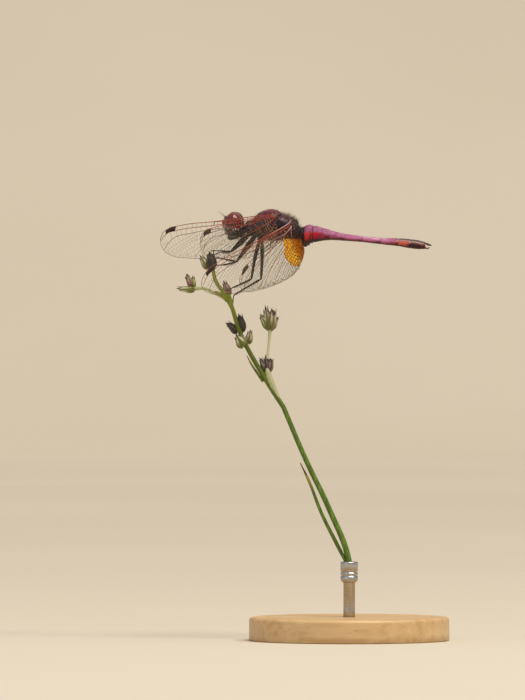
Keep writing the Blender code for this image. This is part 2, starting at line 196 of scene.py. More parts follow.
@dataclass(frozen=True)
class Finish:
    """One real material and how its surface looks.

    Attributes:
        name: The material's common name.
        base: The colour under all layers, as sRGB hex.
        layers: Colours over it.
        reliefs: Fine reliefs, the coarsest first.
        roughness: Lowest and highest roughness, spread by a noise.
        rough_size: Millimetres of one grain of that noise, along all axes or each.
        sockets: Values set directly on the shader's own sockets.
    """

    name: str
    base: str
    layers: tuple[Layer, ...] = ()
    reliefs: tuple[Relief, ...] = ()
    roughness: Flat = (0.4, 0.5)
    rough_size: Point | float = 0.6
    sockets: tuple[tuple[str, Any], ...] = ()

    def texture(self, tree: bpy.types.NodeTree, follow: Follow, size: Point | float,
                randomness: float = 1.0) -> Socket:
        """A noise or a cell pattern on the piece's own coordinates.

        Args:
            tree: The material's tree.
            follow: NOISE or CELLS.
            size: Millimetres of one grain, along all axes or each.
            randomness: How uneven the cells are.

        Returns:
            The pattern's value.
        """
        place = wire(tree, "ShaderNodeTexCoord", output="Object")
        scale = tuple(1.0 / (length * MM) for length in ((size,) * 3 if isinstance(size, float) else size))
        turned = {"Vector": wire(tree, "ShaderNodeMapping", {"Vector": place, "Scale": scale}), "Scale": 1.0}
        if follow is Follow.CELLS:
            return wire(tree, "ShaderNodeTexVoronoi", {**turned, "Randomness": randomness}, "Distance")
        return wire(tree, "ShaderNodeTexNoise", {**turned, "Detail": 3.0}, "Fac")

    def masked(self, tree: bpy.types.NodeTree, mask: Mask) -> Socket:
        """The value of one mask.

        Args:
            tree: The material's tree.
            mask: The mask to draw.

        Returns:
            A value from 0 to 1.
        """
        if isinstance(mask.follow, str):
            measure = wire(tree, "ShaderNodeAttribute", output="Fac", attribute_name=mask.follow)
        elif mask.follow in (Follow.NOISE, Follow.CELLS):
            measure = self.texture(tree, mask.follow, mask.size)
        else:
            place = wire(tree, "ShaderNodeTexCoord", output="Object")
            metres = wire(tree, "ShaderNodeSeparateXYZ", {0: place}, mask.follow.value)
            measure = sum_of(tree, "MULTIPLY", metres, 1.0 / MM)
        if mask.wobble:
            centred = sum_of(tree, "SUBTRACT", self.texture(tree, Follow.NOISE, mask.size), 0.5)
            measure = sum_of(tree, "MULTIPLY_ADD", centred, mask.wobble, measure)
        return wire(tree, "ShaderNodeMapRange", {0: measure, 1: mask.low, 2: mask.high, 3: 0.0, 4: 1.0},
                    interpolation_type="SMOOTHSTEP")

    def build(self) -> bpy.types.Material:
        """Make the material.

        Returns:
            The Blender material with its nodes.
        """
        made = bpy.data.materials.new(self.name)
        made.use_nodes = True
        tree = made.node_tree
        tree.nodes.clear()
        shader = add_node(tree, "ShaderNodeBsdfPrincipled", {}, dict(self.sockets))
        shader.inputs["Base Color"].default_value = linear(self.base)
        colour: Any = linear(self.base)
        for layer in self.layers:
            amount: Any = layer.strength
            for mask in layer.masks:
                amount = sum_of(tree, "MULTIPLY", self.masked(tree, mask), amount)
            colour = wire(tree, "ShaderNodeMix", {0: amount, 6: colour, 7: linear(layer.colour)}, 2,
                          data_type="RGBA")
        if self.layers:
            tree.links.new(colour, shader.inputs["Base Color"])
        add_node(tree, "ShaderNodeOutputMaterial", {}, {"Surface": shader.outputs[0]})
        patchy = self.texture(tree, Follow.NOISE, self.rough_size)
        low, high = self.roughness
        spread = wire(tree, "ShaderNodeMapRange", {0: patchy, 1: 0.3, 2: 0.7, 3: low, 4: high})
        tree.links.new(spread, shader.inputs["Roughness"])
        normal: Socket | None = None
        for relief in self.reliefs:
            links = {"Height": self.texture(tree, relief.follow, relief.size, relief.randomness),
                     "Distance": relief.height * MM, "Strength": 1.0}
            if normal is not None:
                links["Normal"] = normal
            normal = wire(tree, "ShaderNodeBump", links)
        if normal is not None:
            tree.links.new(normal, shader.inputs["Normal"])
        return made


# --- the insect's own finishes ----------------------------

noise = partial(Mask, Follow.NOISE)
cells = partial(Mask, Follow.CELLS)
at_x = partial(Mask, Follow.X)
at_z = partial(Mask, Follow.Z)
band = partial(Mask, "band")
around = partial(Mask, "around")
ripe = partial(Mask, "ripe")
bumps = partial(Relief, Follow.NOISE)
pits = partial(Relief, Follow.CELLS)


def lay(colour: str, strength: float, *masks: Mask) -> Layer:
    """A layer that shows where all its masks let it."""
    return Layer(colour, strength, masks)


GLOSSY = (("Specular IOR Level", 0.5), ("IOR", 1.55))

# Corneal chitin over dark pigment: wine red above, dark and speckled below, with a wet gloss and facets, and
# painted highlights: white glints below and part of the lighter wine on top.
# Facets are 0.04 mm in life and are drawn at 0.1 mm so that they show.
EYE = Finish("corneal_chitin", "251d1e", (
    lay("191416", 0.8, noise(0.42, 0.6, (0.5, 0.5, 0.35))),
    lay("6b6560", 0.4, cells(0.4, 0.16, (0.34, 0.34, 0.3)), band(-0.3, -0.6)),
    lay("170c10", 0.9, band(-0.42, -0.34, (0.5, 0.5, 0.2), 0.06)),
    lay("641a1d", 1.0, band(-0.34, -0.2, (0.5, 0.5, 0.2), 0.08)),
    lay("160a0d", 0.6, band(-0.14, -0.06, (0.5, 0.5, 0.2), 0.06), band(0.06, 0.0)),
    # painted highlights: a row of white glints across the lower part of the eye
    lay("efe9df", 0.9, cells(0.42, 0.24, (0.36, 0.36, 0.26)), band(-0.5, -0.4), band(-0.16, -0.26)),
    lay("70201e", 0.45, band(0.1, 0.2, (0.5, 0.5, 0.3), 0.06), band(0.4, 0.26)),
    lay("1e0a10", 0.6, band(0.2, 0.3, (0.5, 0.5, 0.3), 0.1), band(0.46, 0.34)),
    lay("6a2a2c", 0.75, band(0.36, 0.5, (0.5, 0.5, 0.3), 0.1)),
    # lighter wine towards the top: partly the eye's own colour, partly a painted highlight
    lay("855258", 0.6, band(0.6, 0.8, (0.5, 0.5, 0.3), 0.16), noise(0.36, 0.56, (0.6, 0.6, 0.5))),
    lay("220e14", 0.65, noise(0.52, 0.66, (0.4, 0.4, 0.28))),
), (pits(0.1, 0.006, 0.25),), (0.14, 0.26), 0.3,
    (("IOR", 1.5), ("Specular IOR Level", 0.35), ("Coat Weight", 0.25), ("Coat Roughness", 0.08)))

# Metallic wine-red chitin of the brow over dull brown lips.
BROW = Finish("metallic_brow_chitin", "2b1a1d", (
    lay("44322f", 0.8, noise(0.45, 0.65, (0.5, 0.5, 0.4)), at_z(69.3, 68.4)),
    lay("6e1f2c", 1.0, at_z(69.6, 70.3, 0.4, 0.3)),
    lay("93303a", 0.7, noise(0.42, 0.62), at_z(70.0, 70.6)),
    lay("4a2350", 0.7, at_z(71.0, 71.7)),
), (bumps(0.25, 0.03), pits(0.09, 0.006)), (0.28, 0.42), 0.4, (("Metallic", 0.35), ("IOR", 1.55)))

# Dark chitin with a violet bloom, wine red along the back and blue-black on the flanks; the blue and part of
# the violet are painted sky reflections, the pale seam ridges and the lightest wine on top painted
# highlights.
THORAX_SHELL = Finish("pruinose_thorax_chitin", "0d080b", (
    # painted reflection: blue patches on the flanks stand for the sky reflected in them
    lay("1c2354", 0.75, noise(0.5, 0.62, (1.3, 0.9, 0.9)), at_z(69.2, 70.2)),
    lay("33191d", 0.7, noise(0.5, 0.66, (0.7, 0.5, 0.5))),
    # wine red along the back, lighter towards the top: partly its own colour, partly a painted highlight
    lay("551f22", 0.9, at_z(71.2, 72.4, (1.0, 0.8, 0.8), 1.1)),
    lay("7d3846", 0.8, at_z(72.2, 73.0, (0.8, 0.6, 0.6), 0.8)),
    lay("1b1016", 0.75, at_z(71.0, 71.6), noise(0.46, 0.6, (0.7, 0.5, 0.34))),
    # violet patches: partly the wax bloom, partly a painted reflection of the sky
    lay("45408c", 0.55, at_z(71.4, 72.2), noise(0.56, 0.66, (0.7, 0.5, 0.5))),
    lay("7d3a5e", 0.4, at_x(-11.9, -11.0), at_z(70.8, 71.4), noise(0.42, 0.58, (0.6, 0.4, 0.4))),
    # painted highlight: pale streaks along the seam ridges
    lay("5d5560", 0.45, Mask("seam", 0.4, 0.95), noise(0.4, 0.6, 0.6)),
    lay("080506", 0.9, Mask("groove", 0.3, 0.9)),
), (bumps(0.35, 0.03), pits(0.12, 0.012)), (0.24, 0.42), 0.5, (("IOR", 1.5), ("Specular IOR Level", 0.32)))

# Red chitin under a violet-pink wax bloom, with black below and on the last segments; the pale top is partly
# bloom and partly painted highlight, the black below partly painted shade.
ABDOMEN_SHELL = Finish("pruinose_abdomen_chitin", "a30212", (
    lay("bd2a06", 0.95, at_x(-5.9, -6.3), around(0.3, 0.4, 0.5, 0.05)),
    lay("b4553a", 0.9, around(0.3, 0.42), at_x(6.8, 8.8)),
    lay("56241c", 0.75, at_x(9.8, 11.2), noise(0.35, 0.6, (0.5, 0.5, 0.4))),
    lay("21110f", 0.85, at_x(10.1, 10.8), noise(0.4, 0.52, (1.8, 0.2, 0.2))),
    lay("2a1713", 0.75, at_x(10.4, 10.7), at_x(12.3, 12.0)),
    lay("8c4f74", 0.94, around(0.44, 0.34, (0.9, 0.6, 0.6), 0.08), at_x(10.2, 7.8)),
    lay("a35f87", 0.9, around(0.66, 0.54, (0.9, 0.5, 0.5), 0.12), at_x(-5.2, -2.4, (1.0, 0.5, 0.4), 1.2),
        at_x(8.8, 6.6)),
    # paler along the top: partly the wax bloom, partly a painted highlight
    lay("c893b2", 0.55, around(0.3, 0.08), noise(0.4, 0.64, (0.9, 0.4, 0.4)), at_x(9.5, 5.0)),
    lay("dcb0c9", 0.6, around(0.42, 0.24), noise(0.36, 0.56, (1.2, 0.4, 0.4)), at_x(0.4, 3.0),
        at_x(7.4, 5.4)),
    lay("5c2449", 0.65, noise(0.48, 0.6, (0.6, 0.26, 0.26)), at_x(1.0, -2.0)),
    lay("7a3a60", 0.4, noise(0.52, 0.68, (0.9, 0.35, 0.35)), at_x(9.0, 7.0)),
    lay("d8b4c6", 0.4, Mask("joint", 0.12, 0.4), around(0.6, 0.4), at_x(-5.0, -3.5),
        noise(0.4, 0.6, (0.5, 0.4, 0.4))),
    lay("d8c4b4", 0.75, Mask("joint", 0.2, 0.55), around(0.42, 0.34), at_x(8.0, 8.7)),
    lay("17100c", 0.85, Mask("joint", 0.1, 0.45), around(0.38, 0.46), at_x(9.4, 9.8)),
    lay("a8605c", 0.6, at_x(10.6, 10.9), around(0.4, 0.32), around(0.2, 0.28)),
    lay("4f0a18", 0.85, Mask("rear", 0.5, 0.95), around(0.42, 0.56, 0.5, 0.08)),
    lay("1c0f0e", 0.9, around(0.46, 0.56, 0.4, 0.1), at_x(9.9, 10.6)),
    lay("463c40", 0.92, around(0.32, 0.2, (0.6, 0.5, 0.4), 0.1), at_x(7.8, 9.0)),
    lay("a39a98", 0.5, around(0.34, 0.28), around(0.18, 0.25), at_x(8.3, 9.0)),
    # darker towards the bottom: partly the dark underside, partly painted shade
    lay("501b1c", 0.85, around(0.6, 0.7, (0.7, 0.5, 0.4), 0.08)),
    lay("1c0a0c", 0.95, around(0.68, 0.78, (0.7, 0.5, 0.4), 0.08)),
    lay("331318", 0.75, Mask("joint", 0.6, 0.95)),
    lay("1a0d11", 0.95, at_x(-7.3, -7.7)),
), (bumps(0.3, 0.02), pits(0.09, 0.009)), (0.4, 0.6), 0.5,
    (("IOR", 1.48), ("Specular IOR Level", 0.28), ("Sheen Weight", 0.06), ("Sheen Roughness", 0.45),
     ("Sheen Tint", linear("e9c3dc"))))

# Dark chitin of the tail's claspers, with a pale mark at the waist.
TAIL_SHELL = Finish("clasper_chitin", "2b1c1f", (
    lay("9a5a3c", 0.8, at_z(66.84, 66.7), at_x(12.6, 12.8)),
    lay("8a6a52", 0.45, at_x(13.0, 13.2), at_x(13.5, 13.3)),
    lay("4f2d28", 0.5, noise(0.45, 0.65, 0.3)),
), (pits(0.08, 0.008),), (0.35, 0.5), 0.3, GLOSSY)

# Near-black leg chitin with a brown-violet cast and a waxy edge light.
LEG_SHELL = Finish("leg_chitin", "0a0709", (
    lay("1c1419", 0.7, noise(0.45, 0.68, (0.5, 0.5, 0.9))),
    lay("33201e", 0.6, Mask("tip", 0.4, 0.8, 0.5, 0.2)),
), (bumps(0.16, 0.014), pits(0.07, 0.006)), (0.22, 0.38), 0.4,
    (("IOR", 1.56), ("Specular IOR Level", 0.35), ("Sheen Weight", 0.02)))

# Fine black bristles that catch a brown light.
BRISTLE = Finish("bristle_keratin", "2a1f1e", (
    lay("5a4238", 0.7, noise(0.45, 0.7, 0.4)),
), (), (0.35, 0.5), 0.3, GLOSSY)

# Soft tawny down, paler towards the light.
DOWN = Finish("tawny_down", "726353", (
    lay("b3a591", 0.7, noise(0.42, 0.62, 0.7)),
    lay("33252a", 0.85, at_z(72.2, 70.8)),
), (), (0.5, 0.7), 0.4, (("IOR", 1.5), ("Sheen Weight", 0.3)))

# Clear wing film: a thin sheet of chitin, seen by its gloss and a cream cast that is a painted reflection of
# the bright surroundings.
WING_FILM = Finish("wing_film", "a39679", (
    lay("bdb298", 0.7, noise(0.4, 0.65, 2.5)),
), (bumps(0.7, 0.02), pits(0.6, 0.012)), (0.12, 0.3), 1.5, (("IOR", 1.56), ("Alpha", 0.02)))

# Amber-dyed film of the hind wing's base.
AMBER_FILM = Finish("amber_film", "d09214", (
    lay("eebe4a", 0.65, cells(0.42, 0.2), Mask("deep", 0.7, 0.4)),
    lay("8e4b07", 0.95, Mask("deep", 0.35, 0.8, 0.9, 0.2)),
    lay("652f04", 0.85, Mask("deep", 0.7, 1.0, 0.9, 0.2), noise(0.4, 0.6, 0.8)),
    # darker towards the root and the front edge
    lay("20120d", 0.95, Mask("smoke", 0.2, 0.8, 0.6, 0.2)),
), (pits(0.5, 0.02),), (0.2, 0.35), 0.8, (("IOR", 1.56), ("Alpha", 0.86), ("Specular IOR Level", 0.15)))

# Wing veins: tubes of stiff chitin, coral red by the body and on the front edge, brown further out, with
# gold and pale marks that are partly painted highlights.
VEIN_SHELL = Finish("vein_chitin", "4b382b", (
    lay("70422f", 1.0, Mask("warmth", 0.2, 0.5)),
    lay("8f3627", 1.0, Mask("warmth", 0.45, 0.8)),
    lay("ad4f40", 0.7, Mask("warmth", 0.78, 0.98), noise(0.4, 0.6, 0.8)),
    # gold at the fore wing's root: partly a warm tint, partly painted glints
    lay("bd8750", 0.95, Mask("gold", 0.3, 0.9), noise(0.34, 0.56, 0.9)),
    # pale marks: partly wax, partly a painted highlight
    lay("bd9aa4", 0.85, Mask("chalk", 0.4, 0.9)),
    lay("2c160c", 1.0, Mask("dark", 0.4, 0.9)),
), (bumps(0.1, 0.008),), (0.3, 0.45), 0.5, (("IOR", 1.55), ("Specular IOR Level", 0.3)))

# Thick pigment cell near the wing's tip, leathery brown.
STIGMA_SHELL = Finish("pterostigma_chitin", "241611", (
    lay("5c2e20", 0.9, Mask("inner", 0.75, 1.0, 0.3, 0.3)),
    lay("150d0b", 0.7, noise(0.45, 0.65, 0.35)),
), (bumps(0.12, 0.015),), (0.4, 0.55), 0.3, (("IOR", 1.55), ("Specular IOR Level", 0.25)))

# Fresh rush stem: waxy green with fine lengthwise ribs, yellower towards the top.
RUSH_STEM = Finish("rush_stem", "4a6218", (
    lay("66862c", 0.7, noise(0.42, 0.65, (0.5, 0.5, 3.0))),
    lay("59620f", 0.85, at_z(38.0, 45.0)),
    lay("828a26", 0.85, at_z(52.0, 58.0)),
    lay("33491a", 0.65, noise(0.5, 0.7, (0.25, 0.25, 1.6))),
    lay("c3c49e", 0.95, Mask("pale", 0.0, 1.0, (0.5, 0.5, 0.9), 0.3)),
    lay("94882c", 0.9, ripe(0.3, 0.6, 0.4, 0.2)),
    lay("44201a", 0.95, ripe(0.6, 0.85, 0.4, 0.2)),
    lay("b8b08a", 0.15, cells(0.3, 0.1)),
), (bumps((0.14, 0.14, 1.2), 0.02),), (0.34, 0.52), (0.6, 0.6, 1.5),
    (("IOR", 1.45), ("Specular IOR Level", 0.35), ("Sheen Weight", 0.03)))

# Seed capsules: glossy, green while young and chestnut when ripe.
RUSH_CAPSULE = Finish("rush_capsule", "7a7f28", (
    lay("57401f", 1.0, ripe(0.25, 0.6, 0.6, 0.3)),
    lay("2c1c13", 0.9, ripe(0.55, 0.95), noise(0.38, 0.62, (0.5, 0.5, 0.8))),
), (bumps((0.14, 0.14, 0.5), 0.02),), (0.22, 0.4), 0.4, GLOSSY)

# Tepals: papery scales with a dark keel and a pale rim, made broader and whiter as a painted highlight.
RUSH_TEPAL = Finish("rush_tepal", "6e7226", (
    lay("4a5818", 0.8, Mask("rim", 0.7, 0.3), ripe(0.6, 0.2)),
    lay("4c3d24", 0.9, ripe(0.35, 0.75, 0.5, 0.3)),
    lay("1d1917", 0.9, Mask("rim", 1.0, 0.6), ripe(0.5, 0.9)),
    # pale rims: partly the scales' own margin, partly a painted highlight
    lay("d6cdb4", 0.9, Mask("rim", 0.3, 0.7, 0.4, 0.25), ripe(1.0, 0.6), Mask("point", 0.3, 0.6, 0.5, 0.3)),
    lay("857a70", 0.55, Mask("rim", 0.86, 1.0), ripe(0.7, 1.0)),
    lay("96625f", 0.75, Mask("blush", 0.1, 0.9), noise(0.35, 0.6)),
    lay("1c1310", 0.9, Mask("point", 0.7, 0.9, 0.3, 0.1)),
), (bumps((0.1, 0.1, 0.6), 0.02),), (0.35, 0.6), 0.4, (("IOR", 1.45), ("Sheen Weight", 0.15)))

# Beech, turned and oiled: pale straight grain with short darker flecks, soft gloss.
BEECH = Finish("oiled_beech", "c9a778", (
    lay("b58f5f", 0.6, noise(0.42, 0.62, (14.0, 1.1, 1.1))),
    lay("dcbf94", 0.6, noise(0.5, 0.72, (22.0, 2.2, 2.2))),
    lay("8d6238", 0.55, noise(0.62, 0.74, (1.8, 0.22, 0.22))),
), (bumps((5.0, 0.25, 0.25), 0.02),), (0.38, 0.5), (4.0, 1.0, 1.0),
    (("IOR", 1.5), ("Coat Weight", 0.15), ("Coat Roughness", 0.25)))

# Stainless steel, turned and brushed round: fine rings of scratches in a satin shine.
STEEL = Finish("brushed_steel", "b4b6b8", (
    lay("9a9da1", 0.5, noise(0.45, 0.6, (3.0, 3.0, 0.06))),
), (bumps((4.0, 4.0, 0.05), 0.002),), (0.22, 0.36), (3.0, 3.0, 0.08), (("Metallic", 1.0),))

# Matt painted card of the studio's cove.
CARD = Finish("painted_card", "ccc5b9", (
    lay("d1cabf", 0.5, noise(0.4, 0.6, 400.0)),
), (), (0.8, 0.9), 50.0, (("Specular IOR Level", 0.1),))


# --- making meshes ----------------------------------------


def link(made: Thing) -> Thing:
    """Put an object in the scene and hand it back."""
    bpy.context.scene.collection.objects.link(made)
    return made


def mark(mesh: bpy.types.Mesh, **measures: Any) -> None:
    """Keep numbers or vectors on the vertices, under the names that materials and node trees read.

    Args:
        mesh: The mesh that keeps them.
        measures: By name, one number, or three, for each vertex.
    """
    for name, values in measures.items():
        numbers = np.asarray(values, dtype=np.float32)
        kind, key = ("FLOAT", "value") if numbers.ndim == 1 else ("FLOAT_VECTOR", "vector")
        mesh.attributes.new(name, kind, "POINT").data.foreach_set(key, numbers.ravel())


def rows_of(mesh: bpy.types.Mesh, what: str = "co") -> np.ndarray:
    """The places of a mesh's vertices, or their normals.

    Args:
        mesh: The mesh.
        what: "co" for the places, "normal" for the normals.

    Returns:
        One row for each vertex.
    """
    found = np.zeros(len(mesh.vertices) * 3, dtype=np.float32)
    mesh.vertices.foreach_get(what, found)
    return found.reshape(-1, 3).astype(float)


def twin(made: Thing) -> Thing:
    """A copy of an object.

    Args:
        made: The object.

    Returns:
        The copy, with a mesh of its own.
    """
    copy = made.copy()
    copy.data = made.data.copy()
    return link(copy)


def solid(name: str, vertices: Iterable[Row], faces: Iterable[Sequence[int]],
          finish: bpy.types.Material | None = None, marks: dict[str, Any] | None = None,
          edges: Iterable[Sequence[int]] = ()) -> Thing:
    """A smooth-shaded mesh object whose faces point outwards.

    Args:
        name: The object's name.
        vertices: Places in millimetres.
        faces: Vertex numbers of each face.
        finish: Its material.
        marks: Values to keep on the vertices, by name.
        edges: Loose edges, for a mesh that a node tree grows along.

    Returns:
        The linked object.
    """
    mesh = bpy.data.meshes.new(name)
    mesh.from_pydata([tuple(v) for v in vertices], [tuple(e) for e in edges], [tuple(f) for f in faces])
    mark(mesh, **(marks or {}))
    if len(mesh.polygons):
        mesh_edit = bmesh.new()
        mesh_edit.from_mesh(mesh)
        bmesh.ops.recalc_face_normals(mesh_edit, faces=mesh_edit.faces)
        mesh_edit.to_mesh(mesh)
        mesh_edit.free()
        mesh.shade_smooth()
    if finish is not None:
        mesh.materials.append(finish)
    return link(bpy.data.objects.new(name, mesh))


def pitched(degrees: float) -> Matrix:
    """A turn about Y."""
    return Matrix.Rotation(radians(degrees), 3, "Y")


def loft(rings: Sequence[Rows]) -> Shell:
    """Vertices and faces of a closed skin over rings of equal length, with a pole at each end.

    Args:
        rings: Rings of points, in order.

    Returns:
        Vertices and faces.
    """
    count = len(rings[0])
    vertices = [point for ring in rings for point in ring]
    faces: Faces = []
    for first in range(0, (len(rings) - 1) * count, count):
        for i in range(count):
            after = (i + 1) % count
            faces.append((first + i, first + after, first + count + after, first + count + i))
    for ring, first in ((rings[0], 0), (rings[-1], (len(rings) - 1) * count)):
        pole = len(vertices)
        vertices.append(tuple(np.mean(np.array(ring, dtype=float), axis=0)))
        faces += [(first + i, first + (i + 1) % count, pole) for i in range(count)]
    return vertices, faces


def ball(centre: Row, semi_axes: Row, turn: Matrix | None = None, rows: int = 14,
         columns: int = 20) -> Shell:
    """Vertices and faces of a ball stretched to its semi-axes.

    Args:
        centre: Its middle.
        semi_axes: Half its size along its own axes.
        turn: How it is turned.
        rows: Rings from pole to pole.
        columns: Points round each ring.

    Returns:
        Vertices and faces.
    """
    rings = []
    for row in range(1, rows):
        level, width = cos(pi * row / rows), sin(pi * row / rows)
        ring = []
        for column in range(columns):
            angle = 2.0 * pi * column / columns
            own = Vector((semi_axes[0] * width * cos(angle), semi_axes[1] * width * sin(angle),
                          semi_axes[2] * level))
            ring.append(tuple((turn @ own if turn else own) + Vector(centre)))
        rings.append(ring)
    vertices, faces = loft(rings)
    for pole, level in ((-2, 1.0), (-1, -1.0)):
        own = Vector((0.0, 0.0, semi_axes[2] * level))
        vertices[pole] = tuple((turn @ own if turn else own) + Vector(centre))
    return vertices, faces


def both(*rows: tuple[Any, ...]) -> list[Shell]:
    """Balls on the two sides, each given by its place on the right side and what ball takes after it."""
    return [ball(side.place(place), *rest) for side in Side for place, *rest in rows]


def lathe(name: str, profile: Sequence[Flat], finish: bpy.types.Material, steps: int = 128) -> Thing:
    """A shape turned round Z, from the radius and height of each of its rings."""
    rings = [[(radius * cos(2.0 * pi * i / steps), radius * sin(2.0 * pi * i / steps), height)
              for i in range(steps)] for radius, height in profile]
    return solid(name, *loft(rings), finish)


def joined(name: str, shells: Iterable[tuple[Rows, Sequence[Sequence[int]]]],
           finish: bpy.types.Material | None = None) -> Thing:
    """Several closed shells as one object.

    Args:
        name: The object's name.
        shells: Vertices and faces of each shell.
        finish: Its material.

    Returns:
        The object.
    """
    vertices: list[Row] = []
    faces: Faces = []
    for points, sides in shells:
        first = len(vertices)
        vertices += list(points)
        faces += [tuple(first + i for i in side) for side in sides]
    return solid(name, vertices, faces, finish)


def kept(made: Thing, name: str) -> Thing:
    """Turn what an object's modifiers show into a plain mesh of its own, and drop the source.

    Args:
        made: The object with its modifiers.
        name: The new object's name.

    Returns:
        The plain object.
    """
    bpy.context.view_layer.update()
    shown = made.evaluated_get(bpy.context.evaluated_depsgraph_get())
    mesh = bpy.data.meshes.new_from_object(shown)
    made.modifiers.clear()
    bpy.data.objects.remove(made, do_unlink=True)
    mesh.name = name
    return link(bpy.data.objects.new(name, mesh))


def fused(name: str, shells: Iterable[tuple[Rows, Sequence[Sequence[int]]]], grain: float, passes: int,
          finish: bpy.types.Material) -> Thing:
    """Closed shells grown together into one skin.

    Args:
        name: The skin's name.
        shells: The shells, in millimetres.
        grain: The size of the skin's faces.
        passes: How often the creases are relaxed.
        finish: Its material.

    Returns:
        The skin.
    """
    made = joined(name, shells)
    skin = made.modifiers.new("Skin", "REMESH")
    skin.mode = "VOXEL"
    skin.voxel_size = grain
    skin.use_smooth_shade = True
    relax = made.modifiers.new("Relax", "SMOOTH")
    relax.factor = 0.5
    relax.iterations = passes
    made = kept(made, name)
    made.data.materials.append(finish)
    made.data.shade_smooth()
    return made


def bezier(points: Rows, steps: int, cyclic: bool = False) -> list[Vector]:
    """Points on the smooth curve that a Bezier line with automatic handles takes.

    Args:
        points: The points that it runs through.
        steps: Points to give between two of them.
        cyclic: Whether it closes.

    Returns:
        Points along the curve.
    """
    curve = bpy.data.curves.new("line", "CURVE")
    curve.dimensions = "3D"
    curve.resolution_u = steps
    spline = curve.splines.new("BEZIER")
    spline.use_cyclic_u = cyclic
    spline.bezier_points.add(len(points) - 1)
    for knot, point in zip(spline.bezier_points, points):
        knot.co = tuple(point) if len(point) == 3 else (*point, 0.0)
        knot.handle_left_type = "AUTO"
        knot.handle_right_type = "AUTO"
    made = kept(link(bpy.data.objects.new("line", curve)), "line")
    found = [vertex.co.copy() for vertex in made.data.vertices]
    bpy.data.objects.remove(made, do_unlink=True)
    return found


def shares_of(count: int) -> list[float]:
    """Evenly spaced shares from 0 to 1."""
    return [i / max(count - 1, 1) for i in range(count)]


def mix(ends: Flat, share: float) -> float:
    """The value at a share of the way from one end to the other."""
    return ends[0] + (ends[1] - ends[0]) * share


def between(values: Row, share: float) -> float:
    """Read a row of evenly spaced values smoothly.

    Args:
        values: The row.
        share: Where to read it, from 0 to 1.

    Returns:
        The value there.
    """
    spot = min(max(share, 0.0), 1.0) * (len(values) - 1)
    low = min(int(spot), len(values) - 2)
    part = spot - low
    part = part * part * (3.0 - 2.0 * part)
    return values[low] + (values[low + 1] - values[low]) * part


# --- node trees that grow what repeats --------------------


